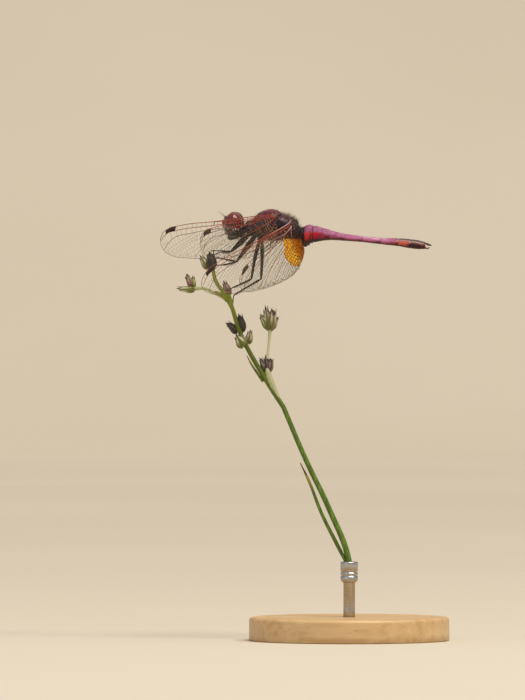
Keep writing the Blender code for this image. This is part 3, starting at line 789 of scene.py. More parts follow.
class Growth:
    """A Geometry Nodes tree with named inputs, run on a source mesh and kept as a plain mesh."""

    def __init__(self, name: str, **inputs: str) -> None:
        """Start the tree.

        Args:
            name: The tree's name.
            inputs: The kind of each input after the geometry, by name with _ for a space.
        """
        self.tree = bpy.data.node_groups.new(name, "GeometryNodeTree")
        for label, kind in {"Geometry": "Geometry", **inputs}.items():
            self.socket(label.replace("_", " "), "INPUT", kind)
        self.socket("Geometry", "OUTPUT", "Geometry")
        self.given = add_node(self.tree, "NodeGroupInput").outputs

    def socket(self, label: str, end: str, kind: str) -> None:
        """Give the tree an input or an output."""
        self.tree.interface.new_socket(label, in_out=end, socket_type=f"NodeSocket{kind}")

    def node(self, kind: str, inputs: dict[int | str, Any] | None = None, output: int | str = 0,
             **settings: Any) -> Socket:
        """Add one node to the tree and hand back one of its outputs."""
        return wire(self.tree, kind, inputs, output, **settings)

    def math(self, operation: str, *values: Any) -> Socket:
        """The result of a sum on numbers."""
        return sum_of(self.tree, operation, *values)

    def scaled(self, vector: Any, scale: Any) -> Socket:
        """A vector times a number."""
        return self.node("ShaderNodeVectorMath", {0: vector, "Scale": scale}, operation="SCALE")

    def added(self, first: Any, second: Any) -> Socket:
        """The sum of two vectors."""
        return self.node("ShaderNodeVectorMath", {0: first, 1: second}, operation="ADD")

    def combine(self, *values: Any) -> Socket:
        """A vector of three numbers."""
        return self.node("ShaderNodeCombineXYZ", dict(enumerate(values)))

    def chance(self, low: Any, high: Any, seed: Any) -> Socket:
        """A random number for each element."""
        return self.node("FunctionNodeRandomValue", {2: low, 3: high, 8: seed}, 1, data_type="FLOAT")

    def read(self, name: str, kind: str = "FLOAT") -> Socket:
        """The value that the mesh keeps under a name."""
        return self.node("GeometryNodeInputNamedAttribute", {0: name}, data_type=kind)

    def read_vector(self, name: str) -> Socket:
        """The vector that the mesh keeps under a name."""
        return self.read(name, "FLOAT_VECTOR")

    def stand(self, points: Any, shape: Any, turn: Any, size: Any) -> Socket:
        """A shape stood on every point."""
        return self.node("GeometryNodeInstanceOnPoints", {0: points, 2: shape, 5: turn, 6: size})

    def shape(self, name: str) -> Socket:
        """The geometry of the object given under a name."""
        return self.node("GeometryNodeObjectInfo", {0: self.given[name]}, "Geometry")

    def sweep(self, ring: Socket, unwrap: Socket | None = None) -> None:
        """End the tree with a ring swept along every edge, as thick as the mesh's radius says.

        Args:
            ring: The tube's cross-section, of unit radius.
            unwrap: Each vertex's place on the unwrap, if it has one.
        """
        line = self.node("GeometryNodeMeshToCurve", {0: self.given[0]})
        tubes = self.node("GeometryNodeCurveToMesh", {0: line, 1: ring, 2: self.read("radius"), 3: True})
        self.finish(tubes, unwrap)

    def finish(self, grown: Socket, unwrap: Socket | None = None) -> None:
        """End the tree: real meshes, a place on the unwrap, smooth shading and the material.

        Args:
            grown: What the tree has grown.
            unwrap: Each vertex's place on the unwrap, if it has one.
        """
        grown = self.node("GeometryNodeRealizeInstances", {0: grown})
        if unwrap is not None:
            grown = self.node("GeometryNodeStoreNamedAttribute", {0: grown, 2: "OFBake", 3: unwrap},
                              data_type="FLOAT2", domain="CORNER")
        grown = self.node("GeometryNodeSetShadeSmooth", {0: grown})
        grown = self.node("GeometryNodeSetMaterial", {0: grown, 2: self.given["Material"]})
        add_node(self.tree, "NodeGroupOutput", {}, {0: grown})

    def grow(self, name: str, source: Thing, **settings: Any) -> Thing:
        """Run the tree on a source object.

        Args:
            name: The grown object's name.
            source: The object to grow from, which is used up.
            settings: A value for each input, by name with _ for a space.

        Returns:
            The grown object, with a plain mesh.
        """
        runner = source.modifiers.new("Grow", "NODES")
        runner.node_group = self.tree
        for item in self.tree.interface.items_tree:
            key = item.name.replace(" ", "_")
            if item.in_out == "INPUT" and key in settings:
                runner[item.identifier] = settings[key]
        return kept(source, name)


class Tubes(Growth):
    """Round tubes along every edge, as thick as the mesh's own radius says."""

    def __init__(self) -> None:
        """Build the tree."""
        super().__init__("tubes", Sides="Int", Material="Material")
        ring = self.node("GeometryNodeCurvePrimitiveCircle", {0: self.given["Sides"], 4: 1.0})
        self.sweep(ring, self.read_vector("spot"))


class RibbedTubes(Growth):
    """Tubes with lengthwise ribs, for stems."""

    points_per_rib: float = 4.0

    def __init__(self) -> None:
        """Build the tree."""
        super().__init__("ribbed_tubes", Ribs="Int", Rib_Depth="Float", Material="Material")
        points = self.math("MULTIPLY", self.given["Ribs"], self.points_per_rib)
        ring = self.node("GeometryNodeCurvePrimitiveCircle", {0: points, 4: 1.0})
        angle = self.math("MULTIPLY", self.node("GeometryNodeInputIndex"), 2.0 * pi / self.points_per_rib)
        wave = self.math("MULTIPLY_ADD", self.math("COSINE", angle), self.given["Rib Depth"], 1.0)
        spread = self.scaled(self.node("GeometryNodeInputPosition"), wave)
        self.sweep(self.node("GeometryNodeSetPosition", {0: ring, 2: spread}))


class Spikes(Growth):
    """Hairs or bristles: one thin spike at every point, or scattered over the faces of a skin."""

    def __init__(self, scattered: bool) -> None:
        """Build the tree.

        Args:
            scattered: Whether the roots are spread over faces, or are the mesh's own vertices.
        """
        measures = dict.fromkeys(("Density", "Thickness", "Shortest", "Longest", "Ruffle"), "Float")
        name = "down" if scattered else "bristles"
        super().__init__(name, Spike="Object", Material="Material", Seed="Int", **measures)
        given, seed, roots = self.given, self.given["Seed"], self.given[0]
        if scattered:
            density = self.math("MULTIPLY", self.read("hairy"), given["Density"])
            roots = self.node("GeometryNodeDistributePointsOnFaces", {0: roots, 4: density, 6: seed})
        ruffle = self.node("FunctionNodeRandomValue", {0: (-1.0, -1.0, -1.0), 1: (1.0, 1.0, 1.0), 8: seed},
                           data_type="FLOAT_VECTOR")
        way = self.added(self.read_vector("lie"), self.scaled(ruffle, given["Ruffle"]))
        turn = self.node("FunctionNodeAlignRotationToVector", {2: way}, axis="Z")
        length, thickness = self.chance(given["Shortest"], given["Longest"], seed), given["Thickness"]
        size = self.combine(thickness, thickness, self.math("MULTIPLY", length, self.read("reach")))
        unwrap = self.added(self.read_vector("unwrap"), self.read_vector("patch"))
        self.finish(self.stand(roots, self.shape("Spike"), turn, size), unwrap)


class Whorls(Growth):
    """A ring of scales round every point, for the rush's flower heads."""

    def __init__(self) -> None:
        """Build the tree."""
        super().__init__("whorls", Scale_Shape="Object", Material="Material", Count="Int", Tilt="Float",
                         Seed="Int")
        given = self.given
        ring = self.node("GeometryNodeMeshCircle", {0: given["Count"], 1: 0.0001})
        step = self.math("DIVIDE", 2.0 * pi, given["Count"])
        angle = self.math("MULTIPLY", self.node("GeometryNodeInputIndex"), step)
        lean = self.chance(0.0, given["Tilt"], given["Seed"])
        turn = self.node("FunctionNodeEulerToRotation", {0: self.combine(0.0, lean, angle)})
        size = self.combine(1.0, 1.0, self.chance(0.86, 1.04, 7))
        whorl = self.stand(ring, self.shape("Scale Shape"), turn, size)
        spun = self.node("FunctionNodeEulerToRotation", {0: self.combine(0.0, 0.0, self.read("spin"))})
        aim = self.node("FunctionNodeAlignRotationToVector", {0: spun, 2: self.read_vector("way")}, axis="Z")
        self.finish(self.stand(given[0], whorl, aim, self.read_vector("girth")))


@dataclass
class Workshop:
    """The finishes and node trees that all sub-assemblies share."""

    materials: dict[str, bpy.types.Material] = field(default_factory=dict)

    def __post_init__(self) -> None:
        """Build the trees and the spike that hairs are made of."""
        self.tubes = Tubes()
        self.ribbed = RibbedTubes()
        self.bristles = Spikes(False)
        self.down = Spikes(True)
        self.whorls = Whorls()
        self.spike = self.make_spike()

    def dress(self, finish: Finish) -> bpy.types.Material:
        """The material of a finish, made once."""
        if finish.name not in self.materials:
            self.materials[finish.name] = finish.build()
        return self.materials[finish.name]

    def make_spike(self) -> Thing:
        """A three-sided hair of unit size that leans a little.

        Returns:
            The hair, with a small patch for its unwrap.
        """
        levels = ((0.0, 1.0, 0.0), (0.4, 0.8, 0.03), (0.75, 0.45, 0.1))
        vertices = [(radius * cos(2.0 * pi * i / 3.0) + lean, radius * sin(2.0 * pi * i / 3.0), height)
                    for height, radius, lean in levels for i in range(3)]
        vertices.append((0.2, 0.0, 1.0))
        faces = [(row * 3 + i, row * 3 + (i + 1) % 3, row * 3 + 3 + (i + 1) % 3, row * 3 + 3 + i)
                 for row in range(2) for i in range(3)]
        faces += [(6 + i, 6 + (i + 1) % 3, 9) for i in range(3)] + [(2, 1, 0)]
        patch = [(0.001 * (i % 3), 0.001 * (i // 3), 0.0) for i in range(9)] + [(0.001, 0.003, 0.0)]
        made = solid("spike", vertices, faces, None, {"patch": patch})
        made.hide_render = True
        return made

    def clear(self) -> None:
        """Remove the shapes that only served as patterns."""
        bpy.data.objects.remove(self.spike, do_unlink=True)


@dataclass
class Assembly:
    """A sub-assembly: what it shares with the others, and its finished pieces."""

    shop: Workshop
    pieces: list[Thing] = field(default_factory=list, init=False)

    def settle(self, made: Thing, slot: str, *replaced: str) -> None:
        """Turn a finished piece to metres and put it on the frame.

        Args:
            made: The piece, in millimetres.
            slot: The record's material slot; not used.
            replaced: The nodes that it stands for.
        """
        made.data.transform(Matrix.Scale(MM, 4))
        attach(made, BODY)
        if replaced:
            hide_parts(*replaced)
        self.pieces.append(made)

    def lines(self, name: str, runs: Sequence[Run]) -> Thing:
        """Loose lines to grow tubes along.

        Args:
            name: The object's name.
            runs: For each line its points, and a list of values for each other key.

        Returns:
            An object whose mesh is only edges.
        """
        points: list[Row] = []
        edges: list[tuple[int, int]] = []
        marks: dict[str, list[Any]] = {key: [] for key in runs[0] if key != "points"}
        for run in runs:
            first = len(points)
            points += [tuple(point) for point in run["points"]]
            edges += [(i, i + 1) for i in range(first, len(points) - 1)]
            for key, values in marks.items():
                values += list(run[key])
        return solid(name, points, [], None, marks, edges)

    def smooth_line(self, points: Rows, radii: Row, steps: int, **marks: Flat) -> Run:
        """A smooth line to sweep.

        Args:
            points: What it runs through.
            radii: Evenly spaced radii along it.
            steps: Points between two of those given.
            marks: Other values, at each end of the line.

        Returns:
            The line with its values.
        """
        path = bezier(points, steps)
        shares = shares_of(len(path))
        faded = {key: [mix(ends, s) for s in shares] for key, ends in marks.items()}
        return {"points": path, "radius": [between(radii, s) for s in shares], **faded}

    def sweep_lines(self, name: str, runs: Sequence[Run], finish: Finish, slot: str, *nodes: str,
                    sides: int = 14) -> None:
        """Sweep lines into one piece.

        Args:
            name: The piece's name.
            runs: The lines with their values.
            finish: What it is made of.
            slot: The record's material slot.
            nodes: The nodes that it stands for.
            sides: Points round each tube.
        """
        source = self.lines(name, runs)
        made = self.shop.tubes.grow(name, source, Sides=sides, Material=self.shop.dress(finish))
        made.data.attributes.remove(made.data.attributes["OFBake"])
        self.settle(made, slot, *nodes)

    def coat(self, tree: Growth, name: str, roots: Thing, finish: Finish, slot: str,
             **settings: float) -> None:
        """Grow hair on a source object, which is used up, into one piece."""
        made = tree.grow(name, roots, Spike=self.shop.spike, Material=self.shop.dress(finish), **settings)
        self.settle(made, slot)


# --- the stand --------------------------------------------


@dataclass
class Stand(Assembly):
    """A turned beech foot and a short steel rod whose ferrule holds the cut stem."""

    base_radius: float = 17.0
    base_height: float = 4.0
    edge: float = 0.6
    groove_radius: float = 14.2
    rod_radius: float = 1.0
    ferrule_radius: float = 1.5
    ferrule_foot: float = 9.8
    ferrule_top: float = 13.4
    socket_radius: float = 0.62
    socket_depth: float = 2.2

    def round_edge(self, radius: float, height: float, size: float, first: float) -> list[Flat]:
        """A quarter round on a turned profile, from the first angle on, in degrees."""
        return [(radius - size + size * cos(radians(first - 15.0 * i)),
                 height - size + size * sin(radians(first - 15.0 * i))) for i in range(7)]

    def build(self) -> None:
        """Make the foot and the rod."""
        radius, top, ring = self.base_radius, self.base_height, self.groove_radius
        base = [(0.4, top), (4.0, top), (9.0, top), (13.0, top), (ring - 0.35, top),
                (ring - 0.15, top - 0.16), (ring + 0.15, top - 0.16), (ring + 0.35, top),
                *self.round_edge(radius, top, self.edge, 90.0),
                (radius, 1.2), (radius, 0.25), (radius - 0.25, 0.0), (8.0, 0.0), (0.4, 0.0)]
        self.settle(lathe("display_foot", base, self.shop.dress(BEECH)), "stand_wood", "stand_base")
        low, bore, outer, thin = top + 0.04, self.socket_radius, self.ferrule_radius, self.rod_radius
        foot, top = self.ferrule_foot, self.ferrule_top
        rings = [(outer - depth, height + rise) for height in (11.5, 10.9)
                 for depth, rise in ((0.0, 0.26), (0.12, 0.2), (0.12, 0.06), (0.0, 0.0))]
        rod = [(0.05, top - self.socket_depth), (bore, top - self.socket_depth), (bore, top - 0.1),
               (bore + 0.1, top), *self.round_edge(outer, top, 0.25, 90.0), *rings,
               (outer, foot + 0.6), (outer - 0.12, foot + 0.3), (thin + 0.1, foot + 0.05), (thin, foot),
               (thin, 5.0), (thin, low), (0.05, low)]
        self.settle(lathe("display_rod", rod, self.shop.dress(STEEL), 64), "stand_steel", "stand_rod")


# --- the rush ---------------------------------------------


@dataclass(frozen=True)
class FlowerHead:
    """One capsule of the rush: its node, foot, tip, greatest radius, ripeness and how pink it is."""

    node: str
    foot: Point
    tip: Point
    radius: float
    ripe: float
    blush: float = 0.0


STEM_SPLIT: Point = (-11.3, 0.0, 39.6)
FLOWER_HEADS = tuple(FlowerHead(*row) for row in (
    ("floret_crown", (-23.6, 0.0, 63.2), (-23.95, 0.0, 66.2), 0.95, 1.0),
    ("floret_crown_side", (-24.3, 0.15, 63.2), (-25.75, 0.3, 65.5), 0.7, 0.42, 0.4),
    ("floret_branch_upper", (-26.95, 0.5, 60.0), (-28.3, 0.6, 62.3), 0.66, 0.7, 0.8),
    ("floret_branch_upper", (-26.8, 0.4, 59.95), (-26.95, 0.3, 62.1), 0.42, 0.4, 0.2),
    ("floret_branch_end", (-26.75, 0.2, 59.5), (-29.85, 0.1, 59.8), 0.58, 0.5),
    ("floret_fork", (-20.7, 0.45, 58.7), (-21.75, 0.7, 61.2), 0.7, 0.7, 1.0),
    ("floret_middle", (-19.3, 0.5, 52.35), (-21.3, 0.75, 54.1), 0.7, 0.98, 0.3),
    ("floret_middle_dark", (-18.5, 0.65, 52.5), (-19.1, 0.9, 55.6), 0.85, 1.0),
    ("floret_low_left", (-18.0, -0.5, 49.9), (-19.4, -0.8, 52.1), 1.0, 0.3),
    ("floret_low_right", (-17.5, 0.5, 50.4), (-17.1, 0.75, 52.85), 0.7, 0.5, 0.3),
    ("floret_base", (-14.5, 0.85, 45.5), (-15.45, 0.95, 48.2), 0.58, 0.85, 0.4),
    ("floret_base", (-14.2, 0.95, 45.5), (-14.45, 1.15, 48.6), 0.62, 0.9, 0.3),
    ("floret_base", (-13.95, 0.85, 45.6), (-13.45, 0.85, 48.1), 0.6, 0.85, 0.5),
    ("floret_tall", (-14.1, 0.9, 52.95), (-15.55, 0.8, 55.5), 0.62, 0.4, 0.2),
    ("floret_tall", (-13.95, 1.05, 52.8), (-14.65, 1.2, 57.0), 0.78, 0.5, 0.3),
    ("floret_tall", (-13.6, 0.85, 52.8), (-13.1, 0.8, 56.6), 0.8, 0.52, 0.4),
    ("floret_tall", (-13.4, 1.05, 52.95), (-12.45, 1.2, 55.1), 0.55, 0.4),
))


@dataclass
class Rush(Assembly):
    """The cut rush: ribbed stem, side stalks, leaf blade, bract, sheath and the flower heads."""

    lower: tuple[Point, ...] = ((0.0, 0.0, 11.4), (-0.15, 0.0, 13.9), (-3.3, 0.0, 22.0), (-7.6, 0.0, 31.0),
                                STEM_SPLIT)
    upper: tuple[Point, ...] = (STEM_SPLIT, (-14.5, 0.0, 44.5), (-18.6, 0.0, 51.9), (-20.9, 0.0, 58.2),
                                (-22.9, 0.0, 60.9), (-23.5, 0.0, 63.3))
    foot_radius: float = 0.5
    split_radius: float = 0.4
    top_radius: float = 0.3
    tepal_width: float = 0.62
    tepal_thickness: float = 0.1

    def stalks(self) -> list[tuple[str, tuple[Point, ...], tuple[float, ...], Flat, float, float]]:
        """Every stalk but the stem.

        Returns:
            The node, points, radii, ripeness at each end, paleness and rib depth of each.
        """
        return [
            ("stem_branch", ((-21.0, 0.02, 57.75), (-21.9, 0.1, 58.35), (-23.2, 0.25, 59.0),
                             (-25.0, 0.3, 59.75), (-26.85, 0.35, 59.75)),
             (0.3, 0.27, 0.25, 0.24, 0.32), (0.0, 0.2), 0.5, 0.05),
            ("stem_pedicel", ((-14.2, 0.9, 47.8), (-13.95, 0.93, 50.4), (-13.72, 0.95, 53.0)),
             (0.24, 0.22, 0.34), (0.0, 0.0), 1.0, 0.05),
            ("stem_blade", ((-0.4, 0.05, 13.1), (-2.2, 0.1, 16.5), (-4.75, 0.05, 21.6), (-6.85, 0.0, 26.9),
                            (-8.38, 0.0, 30.1)), (0.28, 0.3, 0.27, 0.22, 0.08), (0.0, 1.2), 0.0, 0.12),
            ("stem_bract", ((-14.8, -0.1, 43.9), (-15.75, -0.2, 45.35), (-16.9, -0.3, 47.1),
                            (-17.55, -0.3, 48.4)),
             (0.2, 0.2, 0.15, 0.05), (0.0, 1.3), 0.0, 0.1),
            ("stem_sheath", ((-11.9, 0.05, 40.6), (-12.7, 0.1, 42.1), (-13.45, 0.15, 43.8),
                             (-14.0, 0.3, 45.3), (-14.15, 0.5, 46.2)),
             (0.34, 0.46, 0.58, 0.52, 0.3), (0.0, 0.1), 0.62, 0.05),
            ("fork_bract", ((-20.95, -0.1, 57.6), (-21.6, -0.28, 58.5), (-22.6, -0.3, 59.1),
                            (-23.2, -0.3, 59.2)),
             (0.3, 0.3, 0.2, 0.05), (0.1, 1.6), 0.0, 0.1),
            ("fork_sheath", ((-20.2, 0.1, 56.4), (-20.55, 0.1, 57.6), (-20.75, 0.25, 58.9)),
             (0.3, 0.5, 0.3), (0.0, 0.1), 0.1, 0.06),
        ]

    def stalk(self, node: str, points: Sequence[Point], radii: Row, ripe: Flat, pale: float, depth: float,
              ribs: int = 7) -> None:
        """Sweep one ribbed stalk, which stands for its node if the solids have it.

        Args:
            node: The node, or what the scene alone has.
            points: What its middle line runs through.
            radii: Evenly spaced radii along it.
            ripe: How dry it is at each end.
            pale: How pale it is.
            depth: The ribs' depth, as a share of the radius.
            ribs: The number of ribs.
        """
        name = f"rush_{node}"
        path = bezier(points, 14)
        shares = shares_of(len(path))
        run = {"points": path, "radius": [between(radii, s) for s in shares],
               "ripe": [mix(ripe, s ** 3) for s in shares], "pale": [pale] * len(path)}
        made = self.shop.ribbed.grow(name, self.lines(name, [run]), Ribs=ribs, Rib_Depth=depth,
                                     Material=self.shop.dress(RUSH_STEM))
        self.settle(made, "rush_stem", *([node] if node.startswith("stem") else []))

    def swelling(self, share: float) -> float:
        """A capsule's girth at a share of its length, as a share of its greatest radius."""
        return between((0.4, 0.78, 0.98, 1.0, 0.86, 0.58, 0.3, 0.05), share)

    def capsules(self) -> None:
        """Three-sided seed capsules with a short beak."""
        shells, ripeness = [], []
        for head in FLOWER_HEADS:
            way = Vector(head.tip) - Vector(head.foot)
            place = Matrix.Translation(head.foot) @ way.to_track_quat("Z", "Y").to_matrix().to_4x4()
            rings = []
            for share in (0.03 + 0.85 * row / 12.0 for row in range(13)):
                ring = []
                for angle in (2.0 * pi * i / 18.0 for i in range(18)):
                    girth = head.radius * 0.72 * self.swelling(share) * (1.0 + 0.1 * cos(3.0 * angle))
                    spot = Vector((girth * cos(angle), girth * sin(angle), way.length * share))
                    ring.append(tuple(place @ spot))
                rings.append(ring)
            shells.append(loft(rings))
            ripeness += [head.ripe] * len(shells[-1][0])
        made = joined("rush_capsules", shells, self.shop.dress(RUSH_CAPSULE))
        mark(made.data, ripe=ripeness)
        self.settle(made, "rush_flower", *dict.fromkeys(head.node for head in FLOWER_HEADS))

    def tepal(self) -> Thing:
        """One pointed, keeled scale that hugs a capsule of unit radius.

        Returns:
            The scale, of unit length.
        """
        rows, columns = 12, 6
        outer, inner, rims, points = [], [], [], []
        for row in range(rows + 1):
            share = row / rows
            width = self.tepal_width * sin(pi * min(0.16 + 0.84 * share, 1.0) ** 1.25) ** 0.8 + 0.03
            flare = 1.1 * max(share - 0.66, 0.0) ** 1.2
            for column in range(columns + 1):
                across = 2.0 * column / columns - 1.0
                keel = 0.07 * (1.0 - abs(across))
                radius = self.swelling(share * 0.97) * 0.86 + 0.1 + keel + flare
                angle = across * width
                outer.append((radius * cos(angle), radius * sin(angle), share))
                thin = radius - self.tepal_thickness * (1.0 - 0.55 * abs(across))
                inner.append((thin * cos(angle), thin * sin(angle), share - 0.004))
                rims.append(abs(across))
                points.append(share)
        width = columns + 1
        faces: Faces = []
        back = len(outer)
        for row in range(rows):
            for column in range(columns):
                a = row * width + column
                faces.append((a, a + 1, a + width + 1, a + width))
                faces.append((back + a + width, back + a + width + 1, back + a + 1, back + a))
        rim = [*range(width)] + [r * width + columns for r in range(1, rows + 1)]
        rim += [rows * width + c for c in range(columns - 1, -1, -1)]
        rim += [r * width for r in range(rows - 1, 0, -1)]
        for a, b in zip(rim, rim[1:] + rim[:1]):
            faces.append((b, a, back + a, back + b))
        return solid("tepal", outer + inner, faces, None, {"rim": rims + rims, "point": points + points})

    def tepals(self) -> None:
        """Six papery scales round every capsule, grown by the whorl tree."""
        shape = self.tepal()
        shape.hide_render = True
        ways = [Vector(head.tip) - Vector(head.foot) for head in FLOWER_HEADS]
        chance = Random(11)
        source = solid("rush_tepals", [head.foot for head in FLOWER_HEADS], [], None, {
            "way": [tuple(way.normalized()) for way in ways],
            "girth": [(head.radius, head.radius, way.length) for head, way in zip(FLOWER_HEADS, ways)],
            "spin": [chance.uniform(0.0, 1.0) for _ in FLOWER_HEADS],
            "ripe": [head.ripe for head in FLOWER_HEADS], "blush": [head.blush for head in FLOWER_HEADS]})
        made = self.shop.whorls.grow("rush_tepals", source, Scale_Shape=shape, Count=6, Tilt=0.16, Seed=5,
                                     Material=self.shop.dress(RUSH_TEPAL))
        bpy.data.objects.remove(shape, do_unlink=True)
        self.settle(made, "rush_flower")

    def build(self) -> None:
        """Make every part of the rush."""
        for node, points, radii, ripe in (
                ("stem_lower", self.lower, (self.foot_radius, self.split_radius), (0.0, 0.0)),
                ("stem_upper", self.upper, (self.split_radius, self.top_radius), (0.0, 0.15))):
            self.stalk(node, points, radii, ripe, 0.0, 0.035, 14)
        for row in self.stalks():
            self.stalk(*row)
        self.capsules()
        self.tepals()


# --- the trunk --------------------------------------------


def superellipse(x: float, middle: float, half_width: float, rise: float, drop: float, roundness: Flat,
                 count: int) -> list[Point]:
    """A ring across the body: two half super-ellipses that meet at the widest level.

    Args:
        x: Where the ring stands.
        middle: The height of its widest level.
        half_width: Half its width.
        rise: How far it reaches up from there.
        drop: How far it reaches down.
        roundness: Exponents of the upper and the lower half.
        count: Points round the ring, from the left over the top.

    Returns:
        The ring's points.
    """
    ring: list[Point] = []
    for i in range(count):
        angle = 2.0 * pi * (i + 0.5) / count
        upper = sin(angle) >= 0.0
        power = 2.0 / roundness[0 if upper else 1]
        across = half_width * abs(cos(angle)) ** power
        height = (rise if upper else -drop) * abs(sin(angle)) ** power
        ring.append((x, across if cos(angle) >= 0.0 else -across, middle + height))
    return ring


def read_line(line: Rows, x: float) -> list[float]:
    """Read a table whose rows start with x at any x, on a smooth curve through its rows.

    Args:
        line: Rows in order of x.
        x: Where to read it.

    Returns:
        The row's other values there.
    """
    table = np.array(line, dtype=float)
    spot = min(max(x, table[0, 0]), table[-1, 0])
    row = min(max(int(np.searchsorted(table[:, 0], spot, side="right")) - 1, 0), len(table) - 2)
    low, high = table[row], table[row + 1]
    before, after = table[max(row - 1, 0)], table[min(row + 2, len(table) - 1)]
    gap = high[0] - low[0]
    share = (spot - low[0]) / gap
    slope_low = (high - before) / max(high[0] - before[0], 1e-6) * gap
    slope_high = (after - low) / max(after[0] - low[0], 1e-6) * gap
    a, b = share * share * (3.0 - 2.0 * share), share * (1.0 - share)
    found = low + (high - low) * a + slope_low * b * (1.0 - share) - slope_high * b * share
    return list(found[1:])


@dataclass
class Abdomen(Assembly):
    """Ten segments in one shell with overlapping rings, keels, the male's hook plate and the claspers."""

    joints: tuple[float, ...] = (-8.32, -7.85, -6.2, -3.3, -0.8, 2.3, 5.4, 8.4, 10.5, 12.2, 13.0)
    line: tuple[tuple[float, ...], ...] = (
        (-8.4, 70.0, 67.9, 1.35), (-7.4, 70.45, 67.2, 1.6), (-6.6, 70.55, 67.4, 1.6),
        (-4.4, 70.0, 67.85, 1.35), (-2.5, 69.4, 67.92, 1.22), (-0.7, 69.0, 67.8, 1.18),
        (2.3, 68.6, 67.58, 1.2), (5.5, 68.32, 67.2, 1.24), (8.5, 68.2, 66.86, 1.2),
        (10.5, 68.04, 66.5, 1.05), (12.2, 67.78, 66.34, 0.85), (12.85, 67.58, 66.38, 0.62))
    roundness: Flat = (1.8, 2.25)
    step: float = 0.075
    around: int = 64
    end_height: float = 67.05
    end_share: float = 0.8

    def ring(self, x: float) -> tuple[list[Point], float]:
        """One ring of the shell, and how near it is to a joint.

        Args:
            x: Where the ring stands.

        Returns:
            The ring's points and a nearness from 0 to 1.
        """
        top, bottom, width = read_line(self.line, x)
        nearest = min(self.joints[1:-1], key=lambda joint: abs(x - joint))
        behind = x - nearest
        flange = 0.032 * exp(-((behind + 0.09) / 0.09) ** 2)
        groove = -0.1 * exp(-((behind - 0.06) / 0.07) ** 2)
        neck = -0.05 * exp(-max(behind, 0.0) / 0.3) if behind > 0.0 else 0.0
        grown = 1.0 + flange + groove + neck
        middle = bottom + (top - bottom) * 0.45
        ring = superellipse(x, middle, width * grown, (top - middle) * grown, (middle - bottom) * grown,
                            self.roundness, self.around)
        shaped = []
        for _, y, z in ring:
            keel = 0.05 * exp(-(y / 0.12) ** 2) if z > middle else 0.06 * exp(-(y / 0.2) ** 2)
            side_keel = 0.035 * exp(-((z - (middle - 0.45 * (middle - bottom))) / 0.09) ** 2)
            shaped.append((x, y + (side_keel if y > 0.0 else -side_keel), z + keel))
        return shaped, exp(-((behind - 0.04) / 0.11) ** 2)

    def shell(self) -> Thing:
        """The ten segments as one skin.

        Returns:
            The skin, which keeps how far round and how near a joint each point is.
        """
        start, end = self.joints[0] + 0.02, self.joints[-1] - 0.02
        count = int((end - start) / self.step)
        rings, nearness = [], []
        for i in range(count + 1):
            ring, near = self.ring(start + (end - start) * i / count)
            rings.append(ring)
            nearness.append(near)
        rings.append([(x, y * self.end_share, self.end_height + (z - self.end_height) * self.end_share)
                      for x, y, z in rings[-1]])
        nearness.append(0.5)
        vertices, faces = loft(rings)
        turns = [abs((i + 0.5) / self.around - 0.25) for i in range(self.around)]
        around = [min(turn, 1.0 - turn) * 2.0 for turn in turns]
        along = [start + (end - start) * i / count for i in range(count + 1)] + [end]
        front = [max(joint for joint in self.joints if joint <= x) for x in along]
        rear = [min(joint for joint in self.joints if joint > x) for x in along]
        shares = [(x - a) / (b - a) for x, a, b in zip(along, front, rear)]
        marks = {"around": around * len(rings) + [0.5, 0.5],
                 "rear": [share for share in shares for _ in range(self.around)] + [0.0, 0.0],
                 "joint": [near for near in nearness for _ in range(self.around)] + [0.0, 0.0]}
        return solid("abdomen_shell", vertices, faces, self.shop.dress(ABDOMEN_SHELL), marks)

    def claspers(self) -> None:
        """The upper claspers and the plate between them."""
        for side in Side:
            path = [side.place(p) for p in ((12.7, 0.28, 67.3), (13.1, 0.36, 67.36), (13.55, 0.42, 67.16),
                                            (14.12, 0.3, 66.98))]
            run = self.smooth_line(path, (0.18, 0.11, 0.15, 0.2, 0.15, 0.05), 8)
            word = side.word
            self.sweep_lines(f"clasper_{word}", [run], TAIL_SHELL, "tail_cuticle", f"cercus_{word}")
        path = [(12.6, 0.0, 66.86), (13.05, 0.0, 66.6), (13.4, 0.0, 66.5), (13.8, 0.0, 66.72)]
        run = self.smooth_line(path, (0.28, 0.18, 0.13, 0.13, 0.05), 8)
        self.sweep_lines("lower_clasper", [run], TAIL_SHELL, "tail_cuticle", "epiproct")

    def hook_plate(self) -> None:
        """The male's small hooks under the second segment."""
        tilt = pitched(-20.0)
        shells = [ball((-7.75, 0.0, 67.45), (0.6, 0.55, 0.42), tilt),
                  ball((-7.15, 0.0, 67.3), (0.42, 0.4, 0.3)),
                  *both(((-7.55, 0.3, 67.1), (0.3, 0.14, 0.32), tilt))]
        made = fused("hook_plate", shells, 0.06, 3, self.shop.dress(TAIL_SHELL))
        self.settle(made, "tail_cuticle")

    def build(self) -> None:
        """Make the shell, the hook plate and the claspers."""
        self.settle(self.shell(), "abdomen_cuticle", *[f"abdomen_{i:02d}" for i in range(1, 11)])
        self.hook_plate()
        self.claspers()


